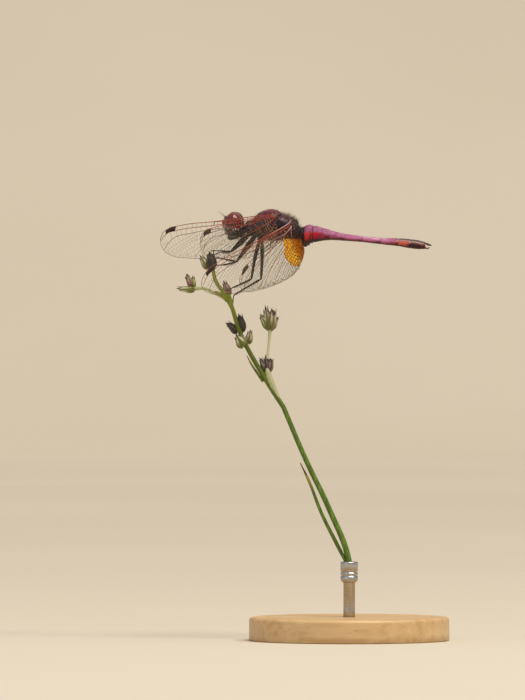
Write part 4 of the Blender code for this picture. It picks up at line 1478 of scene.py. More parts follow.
@dataclass
class Thorax(Assembly):
    """Neck shield and thorax in one skin, with side seams, hips and the wings' root plates."""

    neck: tuple[tuple[float, ...], ...] = (
        (-17.86, 70.15, 0.7, 0.7, 0.85), (-17.45, 70.15, 1.1, 1.05, 1.1), (-16.95, 70.1, 1.25, 1.2, 1.15),
        (-16.5, 70.1, 1.1, 1.05, 1.05))
    stations: tuple[tuple[float, ...], ...] = (
        (-16.7, 70.2, 0.9, 0.95, 0.95), (-16.1, 70.25, 1.6, 1.75, 1.6), (-15.4, 70.3, 2.0, 2.35, 2.1),
        (-14.2, 70.4, 2.35, 2.7, 2.38), (-13.0, 70.5, 2.5, 2.7, 2.5), (-12.0, 70.5, 2.5, 2.3, 2.5),
        (-10.5, 70.3, 2.3, 1.75, 2.35), (-9.55, 70.1, 2.0, 1.3, 2.15), (-8.75, 69.7, 1.65, 0.85, 1.75),
        (-8.3, 69.4, 1.3, 0.65, 1.4))
    roundness: Flat = (2.1, 1.9)
    grain: float = 0.085
    seams: tuple[tuple[Flat, Flat], ...] = (
        ((-15.2, 72.6), (-16.0, 68.6)), ((-12.5, 72.7), (-15.1, 68.2)), ((-11.3, 72.2), (-13.2, 68.0)),
        ((-9.6, 71.2), (-11.8, 68.0)))
    hips: tuple[Point, ...] = ((-16.75, 0.6, 68.95), (-15.75, 0.75, 68.7), (-14.85, 0.9, 68.35))

    def grow_skin(self) -> Thing:
        """Fuse the shield, the thorax, the hips and the wing sockets, and press the seams in.

        Returns:
            The skin, with what its material and its down read.
        """
        shells = []
        for table, count in ((self.neck, 10), (self.stations, 34)):
            rings = []
            for i in range(count + 1):
                x = table[0][0] + (table[-1][0] - table[0][0]) * i / count
                middle, width, rise, drop = read_line(table, x)
                rings.append(superellipse(x, middle, width, rise, drop, self.roundness, 48))
            shells.append(loft(rings))
        forward = pitched(28.0)
        sockets = [((x + 0.1, y + 0.1, z + 0.35), (0.52, 0.5, 0.72), forward) for x, y, z in self.hips]
        shells += both(*sockets, ((-12.4, 1.45, 72.1), (1.1, 0.42, 0.5)),
                       ((-10.2, 1.5, 71.15), (1.1, 0.42, 0.5)), ((-15.0, 1.35, 71.6), (0.8, 0.55, 0.6)))
        shells += [ball((-12.9, 0.0, 72.7), (1.0, 0.55, 0.42)), ball((-10.8, 0.0, 71.75), (0.8, 0.6, 0.4)),
                   ball((-13.0, 0.0, 68.3), (2.6, 0.9, 0.42))]
        skin = fused("thorax_skin", shells, self.grain, 4, self.shop.dress(THORAX_SHELL))
        self.press(skin)
        return skin

    def press(self, skin: Thing) -> None:
        """Press the seams into the skin and keep what its material and its down read.

        Args:
            skin: The fused skin, whose vertices move.
        """
        points, normals = rows_of(skin.data), rows_of(skin.data, "normal")
        depth, ridge = np.zeros(len(points)), np.zeros(len(points))
        for (top_x, top_z), (low_x, low_z) in self.seams:
            line = np.array([low_x - top_x, low_z - top_z])
            reach = (points[:, 0] - top_x) * line[0] + (points[:, 2] - top_z) * line[1]
            reach = np.clip(reach / (line @ line), 0, 1)
            gap_x = points[:, 0] - top_x - reach * line[0]
            gap_z = points[:, 2] - top_z - reach * line[1]
            away = np.hypot(gap_x, gap_z)
            depth = np.maximum(depth, np.exp(-(away / 0.1) ** 2))
            ridge = np.maximum(ridge, np.exp(-((away - 0.24) / 0.12) ** 2) * (gap_x > 0.0))
        sides = np.clip(np.abs(points[:, 1]) / 0.9 - 0.5, 0.0, 1.0)
        depth, ridge = depth * sides, ridge * sides
        middle = np.exp(-(points[:, 1] / 0.11) ** 2) * (points[:, 2] > 71.2) * (points[:, 0] < -12.2)
        moved = points + normals * (0.03 * ridge - 0.075 * depth + 0.05 * middle)[:, None]
        skin.data.vertices.foreach_set("co", moved.astype(np.float32).ravel())
        angle = np.arctan2(points[:, 1], points[:, 2] - 70.2) / (2.0 * pi) + 0.5
        along = 0.03 + 0.9 * (points[:, 0] + 18.0) / 10.0
        unwrap = np.stack([along, 0.02 + 0.94 * angle, 0.0 * angle], axis=1)
        top = np.clip((points[:, 2] - 70.4) / 1.4, 0.0, 1.0)
        rear = np.clip((points[:, 0] + 12.4) / 2.2, 0.0, 1.0)
        front = np.clip((-15.4 - points[:, 0]) / 1.0, 0.0, 1.0)
        belly = np.clip((69.2 - points[:, 2]) / 0.8, 0.0, 1.0)
        mark(skin.data, groove=depth, seam=ridge, unwrap=unwrap,
             hairy=0.03 + 0.36 * top * rear + 0.3 * front * top + 0.2 * belly + 0.3 * rear * rear,
             reach=0.5 + 0.5 * top * rear + 0.25 * front,
             lie=normals * 0.75 + np.array([0.55, 0.0, 0.15]) * (1.0 - 1.6 * front[:, None]))
        skin.data.update()

    def build(self) -> None:
        """Make the skin and its down."""
        skin = self.grow_skin()
        roots = twin(skin)
        self.settle(skin, "thorax_cuticle", "thorax", "neck")
        self.coat(self.shop.down, "thorax_down", roots, DOWN, "thorax_cuticle", Seed=3, Density=75.0,
                  Thickness=0.011, Shortest=0.45, Longest=1.15, Ruffle=0.4)


# --- the head ---------------------------------------------


@dataclass
class Head(Assembly):
    """Compound eyes, brow and lips, skull, simple eyes and feelers."""

    eye_centre: Point = (-19.75, 1.2, 70.6)
    eye_semi: Point = (1.5, 1.8, 2.22)
    eye_lean: float = 9.0
    eye_gap: float = 0.03
    grain: float = 0.055

    def eye(self, side: Side) -> None:
        """One compound eye, flat where it meets its fellow, which keeps how high each point is.

        Args:
            side: The side that it is on.
        """
        rows, columns = 48, 64
        turn = pitched(self.eye_lean)
        vertices, faces = ball(side.place(self.eye_centre), self.eye_semi, turn, rows, columns)
        band = [cos(pi * row / rows) for row in range(1, rows) for _ in range(columns)] + [1.0, -1.0]
        trimmed = [(x, side.value * max(side.value * y, self.eye_gap), z) for x, y, z in vertices]
        made = solid(f"compound_eye_{side.word}", trimmed, faces, self.shop.dress(EYE), {"band": band})
        self.settle(made, "eye", f"eye_{side.word}")

    def face(self) -> Thing:
        """Brow, the plates below it, the upper lip, the jaws and the lower lip.

        Returns:
            All of them in one skin.
        """
        shells = [ball((-20.95, 0.0, 70.35), (0.72, 1.28, 0.42)),
                  ball((-20.95, 0.0, 69.82), (0.62, 1.02, 0.34)),
                  ball((-20.85, 0.0, 69.22), (0.56, 1.12, 0.44)),
                  ball((-20.35, 0.0, 68.35), (0.55, 0.42, 0.4)),
                  ball((-20.1, 0.0, 70.2), (0.9, 1.2, 1.5)), ball((-21.0, 0.0, 71.75), (0.42, 0.5, 0.36))]
        shells += both(((-20.98, 0.52, 71.0), (0.82, 0.82, 0.62)),
                       ((-20.3, 1.05, 69.25), (0.62, 0.42, 0.62)),
                       ((-19.85, 0.6, 68.62), (1.05, 0.7, 0.55), pitched(-14.0)),
                       ((-19.3, 1.05, 69.35), (0.7, 0.5, 0.55)))
        return fused("face_skin", shells, self.grain, 3, self.shop.dress(BROW))

    def skull(self) -> None:
        """The back of the head, hollowed to the neck and edged behind the eyes."""
        shells = [ball((-19.0, 0.0, 70.1), (1.05, 1.9, 1.72), None, 28, 36),
                  ball((-18.95, 0.0, 72.0), (0.5, 0.4, 0.42)), ball((-18.05, 0.0, 70.1), (0.5, 0.62, 0.62)),
                  *both(((-18.55, 1.25, 69.6), (0.62, 0.75, 1.15), pitched(10.0)))]
        made = fused("skull_skin", shells, 0.07, 3, self.shop.dress(THORAX_SHELL))
        self.settle(made, "head_cuticle", "head")

    def simple_eyes(self) -> None:
        """Three glassy beads between the compound eyes."""
        shells = [ball((-21.38, 0.0, 71.72), (0.13, 0.13, 0.13), None, 8, 12),
                  *both(((-21.1, 0.36, 71.98), (0.12, 0.12, 0.12), None, 8, 12))]
        made = joined("simple_eyes", shells, self.shop.dress(EYE))
        mark(made.data, band=[0.8] * len(made.data.vertices))
        self.settle(made, "eye")

    def feelers(self) -> None:
        """Short feelers: two stout joints and a jointed bristle."""
        for side in Side:
            path = [side.place(p) for p in ((-21.15, 0.6, 71.75), (-21.45, 0.72, 72.05),
                                            (-21.95, 0.95, 72.5), (-22.4, 1.2, 72.85))]
            run = self.smooth_line(path, (0.12, 0.09, 0.036, 0.028, 0.022, 0.017, 0.011), 14, tip=(0.0, 0.0))
            run["radius"] = [radius * (0.82 + 0.18 * abs(sin(pi * 6.0 * share)))
                             for radius, share in zip(run["radius"], shares_of(len(run["radius"])))]
            self.sweep_lines(f"feeler_{side.word}", [run], LEG_SHELL, "head_cuticle",
                             f"antenna_{side.word}", sides=10)

    def build(self) -> None:
        """Make the head and the short hairs of brow and crown."""
        for side in Side:
            self.eye(side)
        face = self.face()
        roots = twin(face)
        self.settle(face, "head_cuticle", "face", "mouthparts")
        self.skull()
        self.simple_eyes()
        self.feelers()
        points = rows_of(roots.data)
        front = np.clip((-20.6 - points[:, 0]) / 0.3, 0.0, 1.0)
        crown = np.clip((points[:, 2] - 71.5) / 0.3, 0.0, 1.0)
        angle = np.arctan2(points[:, 1], points[:, 0] + 19.5) / (2.0 * pi)
        mark(roots.data, hairy=np.clip(0.35 * front + 0.9 * crown, 0.0, 1.0), reach=0.6 + 0.5 * crown,
             lie=rows_of(roots.data, "normal") + np.array([-0.1, 0.0, 0.25]),
             unwrap=np.stack([0.5 + 0.9 * np.where(angle > 0.0, angle - 0.5, angle + 0.5),
                              0.05 + 0.9 * (points[:, 2] - 67.9) / 4.3, np.zeros(len(points))], axis=1))
        self.coat(self.shop.down, "face_hairs", roots, BRISTLE, "head_cuticle", Seed=8, Density=26.0,
                  Thickness=0.014, Shortest=0.25, Longest=0.6, Ruffle=0.25)


# --- the wings --------------------------------------------


@dataclass(frozen=True)
class Vein:
    """One long vein.

    Attributes:
        points: Where it runs, along and across the wing as shares of its length.
        radii: Its radius in millimetres at each end.
        warmth: How coral red it is at each end.
        chalk: How much pale wax lies on it, partly a painted highlight.
    """

    points: tuple[Flat, ...]
    radii: Flat
    warmth: Flat
    chalk: Flat = (0.0, 0.0)


@dataclass(frozen=True)
class WingPlan:
    """The sizes of one kind of wing, in millimetres, degrees and shares of its length."""

    word: str
    length: float
    hinge: Point
    outline: tuple[Flat, ...]
    veins: tuple[Vein, ...]
    edge_warmth: Flat
    edge_chalk: Flat
    stigma: Flat
    node_at: float
    flow: tuple[float, float, float, float]


FORE_WING = WingPlan(
    "fore", 28.6, (-11.9, 1.88, 72.37),
    ((0.0, 0.0), (0.05, 0.0), (0.25, -0.003), (0.52, 0.0), (0.8, 0.0), (0.93, 0.02), (0.975, 0.066),
     (0.968, 0.122), (0.9, 0.17), (0.79, 0.192), (0.62, 0.212), (0.4, 0.217), (0.2, 0.195), (0.09, 0.165),
     (0.034, 0.115), (0.008, 0.03)),
    (Vein(((0.0, 0.008), (0.2, 0.008), (0.42, 0.008), (0.53, 0.001)), (0.05, 0.05), (1.0, 0.6)),
     Vein(((0.0, 0.014), (0.13, 0.018), (0.3, 0.02), (0.53, 0.022), (0.84, 0.027), (0.93, 0.042),
           (0.972, 0.074)), (0.085, 0.045), (1.0, 0.45)),
     Vein(((0.02, 0.016), (0.134, 0.0215), (0.214, 0.034), (0.3, 0.04), (0.5, 0.044), (0.72, 0.052),
           (0.88, 0.072), (0.958, 0.128)), (0.08, 0.04), (1.0, 0.2)),
     Vein(((0.01, 0.017), (0.06, 0.034), (0.13, 0.058), (0.2, 0.08), (0.28, 0.1), (0.38, 0.125),
           (0.48, 0.157), (0.58, 0.206)), (0.07, 0.028), (1.0, 0.1)),
     Vein(((0.01, 0.02), (0.035, 0.05), (0.07, 0.086), (0.129, 0.119)), (0.05, 0.035), (1.0, 0.6)),
     Vein(((0.008, 0.026), (0.02, 0.06), (0.045, 0.105), (0.1, 0.15)), (0.045, 0.03), (0.9, 0.5)),
     Vein(((0.214, 0.034), (0.17, 0.078), (0.129, 0.119), (0.112, 0.15)), (0.06, 0.035), (1.0, 0.6)),
     Vein(((0.245, 0.039), (0.24, 0.065), (0.234, 0.09)), (0.04, 0.035), (0.9, 0.8)),
     Vein(((0.255, 0.038), (0.36, 0.062), (0.5, 0.092), (0.64, 0.14), (0.72, 0.193)),
          (0.05, 0.03), (0.8, 0.1))),
    (1.0, 0.42), (0.2, 0.0), (0.841, 0.924), 0.53, (5.0, 70.0, 10.0, 25.0))

HIND_WING = WingPlan(
    "hind", 27.5, (-9.6, 1.92, 71.32),
    ((0.0, 0.006), (0.045, 0.009), (0.22, 0.01), (0.43, 0.007), (0.78, 0.002), (0.92, 0.022), (1.0, 0.088),
     (0.94, 0.155), (0.8, 0.205), (0.6, 0.255), (0.4, 0.29), (0.23, 0.302), (0.14, 0.284), (0.08, 0.2535),
     (0.04, 0.227), (0.014, 0.2), (0.004, 0.15), (0.006, 0.08), (0.008, 0.022)),
    (Vein(((0.0, 0.014), (0.15, 0.017), (0.32, 0.015), (0.42, 0.009)),
          (0.035, 0.04), (0.9, 0.6), (0.5, 0.0)),
     Vein(((0.0, 0.02), (0.12, 0.028), (0.34, 0.024), (0.42, 0.024), (0.82, 0.027), (0.93, 0.048),
           (0.982, 0.08)), (0.065, 0.045), (1.0, 0.45)),
     Vein(((0.012, 0.022), (0.05, 0.04), (0.1055, 0.052), (0.2, 0.051), (0.34, 0.045), (0.47, 0.046),
           (0.7, 0.055), (0.87, 0.078), (0.96, 0.125)), (0.075, 0.04), (1.0, 0.2), (0.9, 0.0)),
     Vein(((0.1055, 0.052), (0.1, 0.08), (0.13, 0.115), (0.2, 0.145)), (0.05, 0.035), (1.0, 0.4)),
     Vein(((0.012, 0.02), (0.045, 0.05), (0.071, 0.1), (0.078, 0.17), (0.095, 0.235), (0.13, 0.29)),
          (0.06, 0.04), (0.9, 0.5), (1.2, -0.6)),
     Vein(((0.13, 0.125), (0.28, 0.165), (0.42, 0.215), (0.54, 0.267)), (0.05, 0.03), (0.7, 0.1)),
     Vein(((0.105, 0.06), (0.25, 0.09), (0.42, 0.13), (0.6, 0.19), (0.7, 0.233)),
          (0.055, 0.03), (0.9, 0.1))),
    (0.95, 0.45), (1.5, -1.25), (0.815, 0.915), 0.42, (8.0, 52.0, 8.0, 30.0))


def travelled_along(line: np.ndarray) -> np.ndarray:
    """How far along a flat line each of its points lies."""
    return np.concatenate([[0.0], np.cumsum(np.hypot(*np.diff(line, axis=0).T))])


def gaps(points: np.ndarray, spot: np.ndarray) -> np.ndarray:
    """How far each of some flat points is from one of them."""
    return np.hypot(*(points - spot).T)


@dataclass
class Wing(Assembly):
    """One wing: film, vein network, pterostigma and, on a hind wing, the amber patch."""

    plan: WingPlan
    side: Side
    sweep: float
    droop: float
    pitch: float
    breadth: float = 1.0
    film_thickness: float = 0.03
    camber: float = 0.1
    pleat_depth: float = 0.1
    pleat_width: float = 1.1
    margin_step: float = 0.62
    join_distance: float = 0.3
    trace_step: float = 0.22
    trace_limit: int = 160
    small_radius: float = 0.032
    shortest_cross_vein: float = 0.14

    def __post_init__(self) -> None:
        """Work out the wing's own directions and its outline."""
        sweep, droop, pitch = radians(self.sweep), radians(self.droop), radians(self.pitch)
        hand = self.side.value
        self.span = Vector((-sin(sweep) * cos(droop), hand * cos(sweep) * cos(droop), -sin(droop)))
        level = Vector((cos(sweep), hand * sin(sweep), 0.0))
        rise = Vector((-sin(sweep) * sin(droop), hand * cos(sweep) * sin(droop), cos(droop)))
        self.chord = level * cos(pitch) - rise * sin(pitch)
        self.normal = self.span.cross(self.chord)
        self.chord *= self.breadth
        self.hinge = self.side.place(self.plan.hinge)
        self.outline = self.traced(self.plan.outline, 12, True)
        self.tip = int(np.argmax(self.outline[:, 0]))
        self.patch = self.amber_edge() if self.plan is HIND_WING else None
        self.name = f"{self.plan.word}_{self.side.word}"
        self.veins: list[np.ndarray] = []
        self.runs: list[Run] = []
        self.chance = Random(sum(map(ord, self.name)))

    def traced(self, points: Sequence[Flat], steps: int, cyclic: bool = False) -> np.ndarray:
        """A smooth line in the wing's plane, through points given as shares of its length."""
        line = bezier([(a * self.plan.length, c * self.plan.length) for a, c in points], steps, cyclic)
        return np.array([(p.x, p.y) for p in line])

    def lift(self, a: float, c: float) -> float:
        """The height of the film's pleats and camber at a point.

        Args:
            a: How far along the wing the point lies.
            c: How far across it.

        Returns:
            The height over the wing's plane.
        """
        pleats = self.pleat_depth * exp(-c / 2.4) * sin(2.0 * pi * c / self.pleat_width)
        root = min(max(a / 3.0, 0.0), 1.0)
        return pleats * root + self.camber * sin(pi * min(c / (0.3 * self.plan.length), 1.0))

    def place(self, a: float, c: float, out: float = 0.0) -> tuple[float, float, float]:
        """A point of the wing's plane, along and across it, raised by its pleats."""
        return tuple(self.hinge + self.span * a + self.chord * c + self.normal * (self.lift(a, c) + out))

    def sheet(self, name: str, outline: np.ndarray, gap: float, thickness: float, finish: bpy.types.Material,
              marks: dict[str, Callable[[float, float], float]] | None = None) -> Thing:
        """A closed thin plate that follows the pleats.

        Args:
            name: The plate's name.
            outline: Its edge in the wing's plane.
            gap: The distance between points inside it.
            thickness: Its thickness.
            finish: Its material.
            marks: What to keep for each vertex, from its place along and across.

        Returns:
            The plate.
        """
        low, high = outline.min(axis=0), outline.max(axis=0)
        inside = []
        for i in range(1, int((high[0] - low[0]) / gap) + 1):
            for j in range(1, int((high[1] - low[1]) / gap) + 1):
                spot = low + np.array([i, j]) * gap
                if self.within(spot, outline) and gaps(outline, spot).min() > gap * 0.5:
                    inside.append(Vector(spot))
        edge = [Vector(p) for p in outline]
        flat, _, faces, *_ = delaunay_2d_cdt(edge + inside, [], [list(range(len(edge)))], 1, 1e-6)
        count = len(flat)
        half = thickness / 2.0
        vertices = [self.place(p.x, p.y, half) for p in flat] + [self.place(p.x, p.y, -half) for p in flat]
        sides: Faces = [tuple(face) for face in faces]
        sides += [tuple(count + i for i in reversed(face)) for face in faces]
        seen: dict[tuple[int, int], int] = {}
        for face in faces:
            for a, b in zip(face, [*face[1:], face[0]]):
                seen[a, b] = seen.get((a, b), 0) + 1
        sides += [(b, a, count + a, count + b) for a, b in seen if (b, a) not in seen]
        kept_values = {key: [rule(p.x, p.y) for p in flat] * 2 for key, rule in (marks or {}).items()}
        return solid(name, vertices, sides, finish, kept_values)

    @staticmethod
    def within(spot: np.ndarray, outline: np.ndarray) -> bool:
        """Whether a point of the wing's plane lies inside an outline.

        Args:
            spot: The point.
            outline: The outline's points, in order.

        Returns:
            True if it does.
        """
        after = np.roll(outline, -1, axis=0)
        crosses = (outline[:, 1] > spot[1]) != (after[:, 1] > spot[1])
        rise = np.where(after[:, 1] == outline[:, 1], 1e-9, after[:, 1] - outline[:, 1])
        reach = (after[:, 0] - outline[:, 0]) * (spot[1] - outline[:, 1]) / rise + outline[:, 0]
        return bool(np.count_nonzero(crosses & (spot[0] < reach)) % 2)

    def warmth(self, a: float, c: float) -> float:
        """How coral the small veins are at a point: most by the body and the front edge."""
        share = a / self.plan.length
        return max(0.0, 0.95 - 1.7 * share - 0.13 * c)

    def run(self, points: np.ndarray, radii: Flat, warmth: Flat | None = None, chalk: Flat = (0.0, 0.0),
            dark: float = 0.0, thin: bool = False) -> None:
        """Keep one vein for the network.

        Args:
            points: Its points in the wing's plane.
            radii: Its radius at each end.
            warmth: How coral it is at each end, or None to follow its place.
            chalk: How waxy it is at each end, partly a painted highlight.
            dark: How dark it is.
            thin: Whether it is a cross-vein, which nothing joins.
        """
        if not thin:
            self.veins.append(points)
        shares = shares_of(len(points))
        length = self.plan.length
        small = radii[0] < self.small_radius
        stained = [self.patch is not None and self.within(point, self.patch) for point in points]
        widths = [mix(radii, s) * (1.0 - 0.4 * a / length if small else 1.0)
                  for s, (a, _) in zip(shares, points)]
        reach = 0.15 if self.plan is FORE_WING else 0.07
        base = [small and a < 0.3 * length and c < reach * length for a, c in points]
        self.runs.append({
            "points": [self.place(a, c) for a, c in points],
            "radius": [max(width, 0.05 * inside, 0.04 * near)
                       for width, inside, near in zip(widths, stained, base)],
            # gold at the fore wing's root: partly a warm tint, partly painted glints
            "gold": [near * min(max(2.2 - 13.0 * a / length, 0.0), 1.0)
                     for (a, _), near in zip(points, base)],
            "warmth": [mix(warmth, s) if warmth else self.warmth(a, c) for s, (a, c) in zip(shares, points)],
            # pale wax, partly a painted highlight
            "chalk": [mix(chalk, s) for s in shares],
            "dark": [max(dark, 0.95 * (inside and small)) for inside in stained],
            "spot": [(0.01 + 0.97 * a / length, 0.02 + 0.9 * c / (0.34 * length), 0.0) for a, c in points]})

    def long_veins(self) -> None:
        """The edge and the veins that the plan names."""
        plan = self.plan
        front, rear = self.outline[:self.tip + 1], self.outline[self.tip:]
        self.run(front, (0.085, 0.045), plan.edge_warmth, plan.edge_chalk)
        self.run(rear, (0.034, 0.036), (0.15, 0.3))
        for vein in plan.veins:
            self.run(self.traced(vein.points, 10), vein.radii, vein.warmth, vein.chalk)

    def heading(self, spot: np.ndarray) -> np.ndarray:
        """The way that the small veins run at a point, from the root outwards.

        Args:
            spot: The point, in the wing's plane.

        Returns:
            A direction of length 1.
        """
        start, slant, outer, inner = self.plan.flow
        along, across = spot / self.plan.length
        inner = inner * exp(-along / 0.09) * across / 0.2
        angle = radians(start + slant * across + outer * along ** 2 + inner)
        return np.array([cos(angle), sin(angle)])

    def flow_veins(self) -> None:
        """Small long veins traced back from the rear edge until they meet another."""
        rear = self.outline[self.tip:]
        travelled = travelled_along(rear)
        count = int(travelled[-1] / self.margin_step)
        root_end, root_depth = 0.07 * self.plan.length, 0.2 * self.plan.length
        order = sorted(range(1, count), key=lambda i: int(f"{i:08b}"[::-1], 2))
        for index in order:
            reach = travelled[-1] * index / count
            row = min(int(np.searchsorted(travelled, reach)), len(rear) - 1)
            spot = rear[row] * 0.999
            if self.plan is HIND_WING and spot[0] < root_end and spot[1] < root_depth:
                continue
            trail = [spot.copy()]
            others = np.concatenate(self.veins[:1] + self.veins[2:])
            for _ in range(self.trace_limit):
                spot = spot - self.heading(spot) * self.trace_step
                trail.append(spot.copy())
                away = gaps(others, spot)
                if len(trail) > 4 and away.min() < self.join_distance:
                    trail.append(others[away.argmin()])
                    break
                if not self.within(spot, self.outline):
                    break
            if len(trail) > 4:
                line = np.array(trail[::-1])
                line[1:-1] += np.array([[0.0, 0.02 * sin(1.9 * a + index)] for a, _ in line[1:-1]])
                self.run(line, (0.031, 0.018))

    def cross_veins(self) -> None:
        """Short veins from every long one up to its neighbour, in uneven steps."""
        starts = np.concatenate([vein[:-1] for vein in self.veins])
        ends = np.concatenate([vein[1:] for vein in self.veins])
        owners = np.concatenate([np.full(len(vein) - 1, i) for i, vein in enumerate(self.veins)])
        for owner, vein in enumerate(self.veins):
            if owner == 0:
                continue
            wide = owner in (2, 3, 4)
            travelled = travelled_along(vein)
            reach = self.chance.uniform(0.2, 0.6)
            while reach < travelled[-1] - 0.15:
                spot, ahead = [np.array([np.interp(place, travelled, vein[:, k]) for k in (0, 1)])
                               for place in (reach, min(reach + 0.1, travelled[-1]))]
                reach += self.chance.uniform(0.95, 1.35) if wide else self.chance.uniform(0.5, 0.72)
                way = ahead - spot
                if np.hypot(*way) < 1e-6:
                    continue
                up = np.array([way[1], -way[0]]) / np.hypot(*way)
                if owner == 1:
                    up = -up
                tilt = self.chance.uniform(-0.16, 0.16)
                up = np.array([up[0] * cos(tilt) - up[1] * sin(tilt), up[0] * sin(tilt) + up[1] * cos(tilt)])
                far = self.first_hit(spot, up, starts, ends, owners != owner)
                if far is None or far < self.shortest_cross_vein:
                    continue
                radius = 0.03 if wide else 0.018
                self.run(np.array([spot, spot + up * far * 0.5, spot + up * far]), (radius, radius),
                         (0.85, 0.85) if wide and spot[0] < 0.3 * self.plan.length else None, thin=True)

    @staticmethod
    def first_hit(spot: np.ndarray, way: np.ndarray, starts: np.ndarray, ends: np.ndarray,
                  allowed: np.ndarray) -> float | None:
        """How far a straight line runs from a point before it meets an allowed stretch of vein.

        Args:
            spot: Where it starts.
            way: Its direction.
            starts: First points of all stretches.
            ends: Last points of them.
            allowed: Which of them count.

        Returns:
            The distance, or None if nothing is met within 2 mm.
        """
        edge = ends - starts
        across = way[0] * edge[:, 1] - way[1] * edge[:, 0]
        across = np.where(np.abs(across) < 1e-9, 1e-9, across)
        gap = starts - spot
        reach = (gap[:, 0] * edge[:, 1] - gap[:, 1] * edge[:, 0]) / across
        share = (gap[:, 0] * way[1] - gap[:, 1] * way[0]) / across
        met = reach[(reach > 0.03) & (reach < 2.0) & (share >= 0.0) & (share <= 1.0) & allowed]
        return float(met.min()) if len(met) else None

    def knots(self) -> list[Shell]:
        """Small root plates between the hinge and the thorax.

        Returns:
            A closed shell for each.
        """
        frame_turn = Matrix((self.span, self.chord, self.normal)).transposed()
        plates = ((-0.15, 0.15, (0.62, 0.3, 0.22)), (0.35, 0.55, (0.6, 0.42, 0.2)),
                  (-0.35, 0.75, (0.5, 0.5, 0.22)), (0.1, 1.2, (0.36, 0.42, 0.16)))
        return [ball(self.hinge + self.span * a + self.chord * c, size, frame_turn, 10, 14)
                for a, c, size in plates]

    def build(self) -> None:
        """Make the film, the network, the pterostigma, the root plates and the amber patch."""
        shop, plan, length = self.shop, self.plan, self.plan.length
        film = shop.dress(WING_FILM)
        self.settle(self.sheet(f"film_{self.name}", self.outline, 0.42, self.film_thickness, film),
                    "wing_membrane", f"wing_{self.name}")
        self.long_veins()
        self.flow_veins()
        self.cross_veins()
        middle = plan.node_at * length
        node = np.array([(middle - 0.35, 0.02), (middle, 0.12), (middle + 0.1, 0.022 * length)])
        self.run(node, (0.09, 0.07), (0.2, 0.2), (0.0, 0.0), 0.75, True)
        name = f"veins_{self.name}"
        self.settle(shop.tubes.grow(name, self.lines(name, self.runs), Sides=5,
                                    Material=shop.dress(VEIN_SHELL)), "wing_membrane")
        self.stigma()
        plates = fused(f"root_plates_{self.name}", self.knots(), 0.06, 3, shop.dress(VEIN_SHELL))
        count = len(plates.data.vertices)
        mark(plates.data, warmth=[0.15] * count, chalk=[0.5] * count, dark=[0.72] * count)
        self.settle(plates, "wing_membrane")
        if plan is HIND_WING:
            self.amber()

    def front_edge(self, a: float) -> float:
        """How far across the wing its front edge lies at a distance along it."""
        front = self.outline[:self.tip + 1]
        return float(np.interp(a, front[:, 0], front[:, 1]))

    def stigma(self) -> None:
        """The thick dark cell on the front edge near the tip."""
        first, last = (share * self.plan.length for share in self.plan.stigma)
        stops, width = np.linspace(first, last, 9), 0.025 * self.plan.length
        top = [(a, self.front_edge(a) + 0.02) for a in stops]
        low = [(a + (0.28 if a < last - 0.3 else 0.1), self.front_edge(a) + width) for a in stops[::-1]]
        outline = np.array(top + low)
        made = self.sheet(f"stigma_{self.name}", outline, 0.3, 0.15, self.shop.dress(STIGMA_SHELL),
                          {"inner": lambda a, c: 1.0 - (a - first) / (last - first)})
        self.settle(made, "wing_membrane")

    def amber_edge(self) -> np.ndarray:
        """The edge of the amber patch, stepped along the cells.

        Returns:
            Its points in the wing's plane.
        """
        rear = self.outline[self.tip:]
        keep = (rear[:, 0] < 0.078 * self.plan.length) & (rear[:, 1] > 0.055 * self.plan.length)
        inner = rear[keep][::-1] + np.array([0.03, 0.0])
        border = bezier([(2.9, 7.3), (4.1, 7.15), (5.15, 6.1), (5.45, 4.6), (4.7, 3.4), (4.2, 2.3),
                         (3.2, 1.5), (1.2, 1.35)], 6)
        stepped = [(p.x + 0.07 * sin(9.0 * p.y), p.y + 0.06 * sin(8.0 * p.x)) for p in border]
        return np.array([tuple(p) for p in inner] + stepped)

    def amber(self) -> None:
        """The amber patch at the hind wing's base, inside the inner edge."""
        made = self.sheet(f"amber_{self.name}", self.patch, 0.35, self.film_thickness + 0.006,
                          self.shop.dress(AMBER_FILM), {
                              "deep": lambda a, c: 1.15 - a / 4.2,
                              # darker towards the root and the front edge
                              "smoke": lambda a, c: min(max((3.6 - 0.385 * a - c) / 0.5 + 0.5, 0.0), 1.0)})
        self.settle(made, "wing_membrane")


# --- the legs ---------------------------------------------


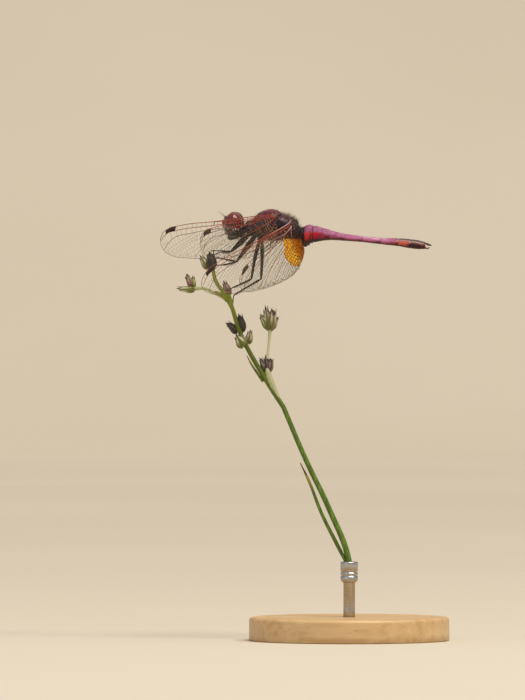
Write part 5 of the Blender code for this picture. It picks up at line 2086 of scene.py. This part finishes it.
@dataclass
class Leg(Assembly):
    """One leg: hip joint, thigh, shin, three foot joints, two claws and its rows of bristles."""

    pair: Pair
    side: Side
    bends: tuple[Point, Point, Point, Point]
    thigh_radius: float = 0.33
    shin_radius: float = 0.15
    foot_radius: float = 0.1

    def build(self) -> None:
        """Make the leg and its bristles."""
        hip, knee, ankle, claw = (Vector(p) for p in self.bends)
        hand = self.side.value
        out = Vector((0.0, hand, 0.0))
        root = hip + Vector((0.35, -0.15 * hand, 0.75))
        bow = (knee - hip).cross(out).normalized() * 0.12
        thigh = [hip + Vector((0.05, 0.0, 0.1)), hip.lerp(knee, 0.5) + bow, knee]
        shin = [knee, knee.lerp(ankle, 0.5) - bow * 0.6, ankle]
        r, s, f = self.thigh_radius, self.shin_radius, self.foot_radius
        coxa = [root, root.lerp(hip, 0.5) + out * 0.08, hip + (knee - hip) * 0.06]
        thigh_radii = (0.2, 0.8 * r, r, 0.98 * r, 0.84 * r, 0.72 * r, 0.7 * r, 0.5 * r)
        shin_radii = (0.12, 1.25 * s, s, s, 0.95 * s, 0.9 * s, s, 0.7 * s)
        runs = [self.smooth_line(coxa, (0.36, 0.44, 0.36, 0.27), 18, tip=(0.0, 0.0)),
                self.smooth_line(thigh, thigh_radii, 18, tip=(0.0, 0.35)),
                self.smooth_line(shin, shin_radii, 18, tip=(0.3, 0.8))]
        foot = claw - ankle
        stops = (0.0, 0.22, 0.5, 0.93)
        for start, stop in zip(stops, stops[1:]):
            low, high = ankle + foot * (start - 0.015), ankle + foot * stop
            runs.append(self.smooth_line([low, low.lerp(high, 0.5), high],
                                         (0.5 * f, 0.9 * f, f, 1.15 * f, 0.6 * f), 6, tip=(0.8, 1.0)))
        across = foot.normalized().cross(Vector((0.0, 0.0, 1.0)))
        across = across.normalized() if across.length > 0.1 else Vector((0.0, 1.0, 0.0))
        hook = foot.normalized()
        claws = []
        for turn in (-1.0, 1.0):
            start = ankle + foot * 0.92
            bend = start + hook * 0.22 + across * 0.12 * turn + Vector((0.0, 0.0, 0.03))
            end = start + hook * 0.34 + across * 0.16 * turn - Vector((0.0, 0.0, 0.16))
            claws.append(self.smooth_line([start, bend, end], (0.06, 0.045, 0.012), 5, tip=(1.0, 1.0)))
        label = f"{self.pair.value}_{self.side.word}"
        nodes = [f"femur_{label}", f"shin_{label}"] + ([f"foot_{label}"] if self.pair is Pair.HIND else [])
        self.sweep_lines(f"leg_{label}", runs, LEG_SHELL, "leg_cuticle", *nodes)
        self.sweep_lines(f"claws_{label}", claws, LEG_SHELL, "leg_cuticle")
        self.bristles(label, runs)

    def bristles(self, label: str, runs: Sequence[Run]) -> None:
        """Two rows of bristles down the thigh and the shin.

        Args:
            label: Which leg it is.
            runs: The leg's lines, of which the second is the thigh and the third the shin.
        """
        roots, lies, reaches, unwraps = [], [], [], []
        for which, count, reach in ((1, 15, 0.36), (2, 11, 0.78)):
            path = [Vector(p) for p in runs[which]["points"]]
            radii = runs[which]["radius"]
            for row in (-1.0, 1.0):
                for i in range(count):
                    share = 0.12 + 0.82 * (i + 0.25 * row + 0.25) / count
                    index = min(int(share * (len(path) - 1)), len(path) - 2)
                    way = (path[index + 1] - path[index]).normalized()
                    down = Vector((-0.35, 0.0, -1.0))
                    down = (down - way * down.dot(way)).normalized()
                    aside = way.cross(down) * row
                    out = (down * 0.75 + aside * 0.65).normalized()
                    roots.append(path[index] + out * radii[index] * 0.9)
                    lies.append(tuple((out + way * 0.55).normalized()))
                    reaches.append(reach * (1.0 - 0.45 * share))
                    unwraps.append((0.05 + 0.9 * share, 0.2 + 0.25 * which + 0.06 * row, 0.0))
        name = f"bristles_{label}"
        source = solid(name, roots, [], None, {"lie": lies, "reach": reaches, "unwrap": unwraps})
        self.coat(self.shop.bristles, name, source, BRISTLE, "leg_cuticle", Seed=4, Thickness=0.024,
                  Shortest=0.85, Longest=1.1, Ruffle=0.08)


LEGS: tuple[tuple[Pair, Side, tuple[Point, Point, Point, Point]], ...] = (
    (Pair.FORE, Side.LEFT,
     ((-17.25, -0.65, 68.95), (-20.0, -1.9, 66.05), (-21.7, -1.1, 66.15), (-23.6, -0.3, 66.2))),
    (Pair.FORE, Side.RIGHT,
     ((-17.25, 0.65, 68.95), (-20.6, 1.9, 66.05), (-22.0, 1.1, 66.0), (-23.28, 0.42, 65.55))),
    (Pair.MIDDLE, Side.LEFT,
     ((-16.15, -0.75, 68.7), (-18.95, -2.2, 64.3), (-21.65, -1.2, 63.75), (-22.98, -0.35, 63.7))),
    (Pair.MIDDLE, Side.RIGHT,
     ((-16.15, 0.75, 68.7), (-19.8, 2.2, 64.35), (-21.5, 1.3, 64.75), (-22.85, 0.3, 65.05))),
    (Pair.HIND, Side.LEFT,
     ((-15.2, -0.95, 68.3), (-16.4, -2.6, 61.35), (-19.8, -1.35, 59.9), (-20.85, -0.4, 59.4))),
    (Pair.HIND, Side.RIGHT,
     ((-15.2, 0.95, 68.3), (-15.55, 2.6, 61.4), (-20.0, 0.9, 58.6), (-20.1, 0.42, 57.4))),
)

WINGS: tuple[tuple[WingPlan, Side, float, float, float, float], ...] = (
    (FORE_WING, Side.LEFT, 37.0, 5.5, 86.0, 1.0), (FORE_WING, Side.RIGHT, 39.6, 4.8, 86.0, 1.0),
    (HIND_WING, Side.LEFT, 29.4, 20.0, 74.0, 1.0), (HIND_WING, Side.RIGHT, 31.5, 18.6, 80.0, 0.9),
)


# --- the studio -------------------------------------------


@dataclass
class Studio:
    """Cove, lamps and camera, in metres."""

    aim: Point = (-0.0149, 0.0, 0.0493)
    azimuth: float = radians(9.0)
    lens: float = 400.0
    distance: float = 1.3222
    lit: Point = (-0.014, 0.0, 0.06)
    cove_depth: float = 2.4
    cove_radius: float = 1.0
    cove_half_width: float = 4.0
    cove_height: float = 3.4

    def cove(self) -> None:
        """A pale floor that rises into a wall far behind the model."""
        profile = [(-3.6, 0.0), (-1.2, 0.0), (0.0, 0.0), (self.cove_depth, 0.0)]
        profile += [(self.cove_depth + self.cove_radius * sin(radians(a)),
                     self.cove_radius * (1.0 - cos(radians(a)))) for a in range(6, 91, 6)]
        profile.append((self.cove_depth + self.cove_radius, self.cove_height))
        vertices = [(side * self.cove_half_width, y, z) for y, z in profile for side in (-1.0, 1.0)]
        faces = [(i, i + 1, i + 3, i + 2) for i in range(0, len(vertices) - 2, 2)]
        solid("cove", vertices, faces, CARD.build())

    def lamp(self, name: str, place: Point, size: float, power: float, colour: str) -> None:
        """A square soft lamp that faces the model.

        Args:
            name: The lamp's name.
            place: Where it stands.
            size: The side of its face.
            power: Its power in watts.
            colour: Its colour as sRGB hex.
        """
        data = bpy.data.lights.new(name, "AREA")
        data.size = size
        data.energy = power
        data.color = linear(colour)[:3]
        made = link(bpy.data.objects.new(name, data))
        made.location = place
        way = Vector(self.lit) - Vector(place)
        made.rotation_euler = way.to_track_quat("-Z", "Y").to_euler()

    def build(self) -> None:
        """Set up the cove, the lamps, the pale surroundings and the camera."""
        self.cove()
        self.lamp("key", (0.4, -0.18, 0.56), 0.16, 1.7, "fff6e6")
        self.lamp("fill", (-0.5, -0.75, 0.35), 0.5, 0.8, "eef2ff")
        sun = bpy.data.lights.new("skylight", "SUN")
        sun.energy = 2.0
        sun.angle = radians(24.0)
        sun.color = linear("fff4e2")[:3]
        made = link(bpy.data.objects.new("skylight", sun))
        made.rotation_euler = Vector((-0.22, 0.3, -0.93)).to_track_quat("-Z", "Y").to_euler()
        world = bpy.data.worlds.new("pale_room")
        world.use_nodes = True
        world.node_tree.nodes["Background"].inputs["Color"].default_value = linear("f0e9dd")
        world.node_tree.nodes["Background"].inputs["Strength"].default_value = 0.55
        scene = bpy.context.scene
        scene.world = world
        scene.view_settings.view_transform = "Standard"
        data = bpy.data.cameras.new("camera")
        data.lens = self.lens
        data.sensor_width = 36.0
        data.clip_start, data.clip_end = 0.05, 20.0
        made = link(bpy.data.objects.new("camera", data))
        back = Vector((sin(self.azimuth), -cos(self.azimuth), 0.0))
        made.location = Vector(self.aim) + back * self.distance
        made.rotation_euler = (-back).to_track_quat("-Z", "Y").to_euler()
        scene.camera = made


# --- putting it together ----------------------------------


def main() -> None:
    """Build every sub-assembly in order and report its pieces."""
    logging.basicConfig(level=logging.INFO, format="%(name)s: %(message)s")
    Studio().build()
    shop = Workshop()
    assemblies: list[Assembly] = [Stand(shop), Rush(shop), Abdomen(shop), Thorax(shop), Head(shop)]
    assemblies += [Wing(shop, *row) for row in WINGS]
    assemblies += [Leg(shop, *row) for row in LEGS]
    total = 0
    for assembly in assemblies:
        assembly.build()
        for made in assembly.pieces:
            made.data.calc_loop_triangles()
            count = len(made.data.loop_triangles)
            total += count
            log.info("%s: %s, %d triangles", type(assembly).__name__, made.name, count)
    shop.clear()
    log.info("%d triangles in all", total)


if __name__ == "__main__":
    main()
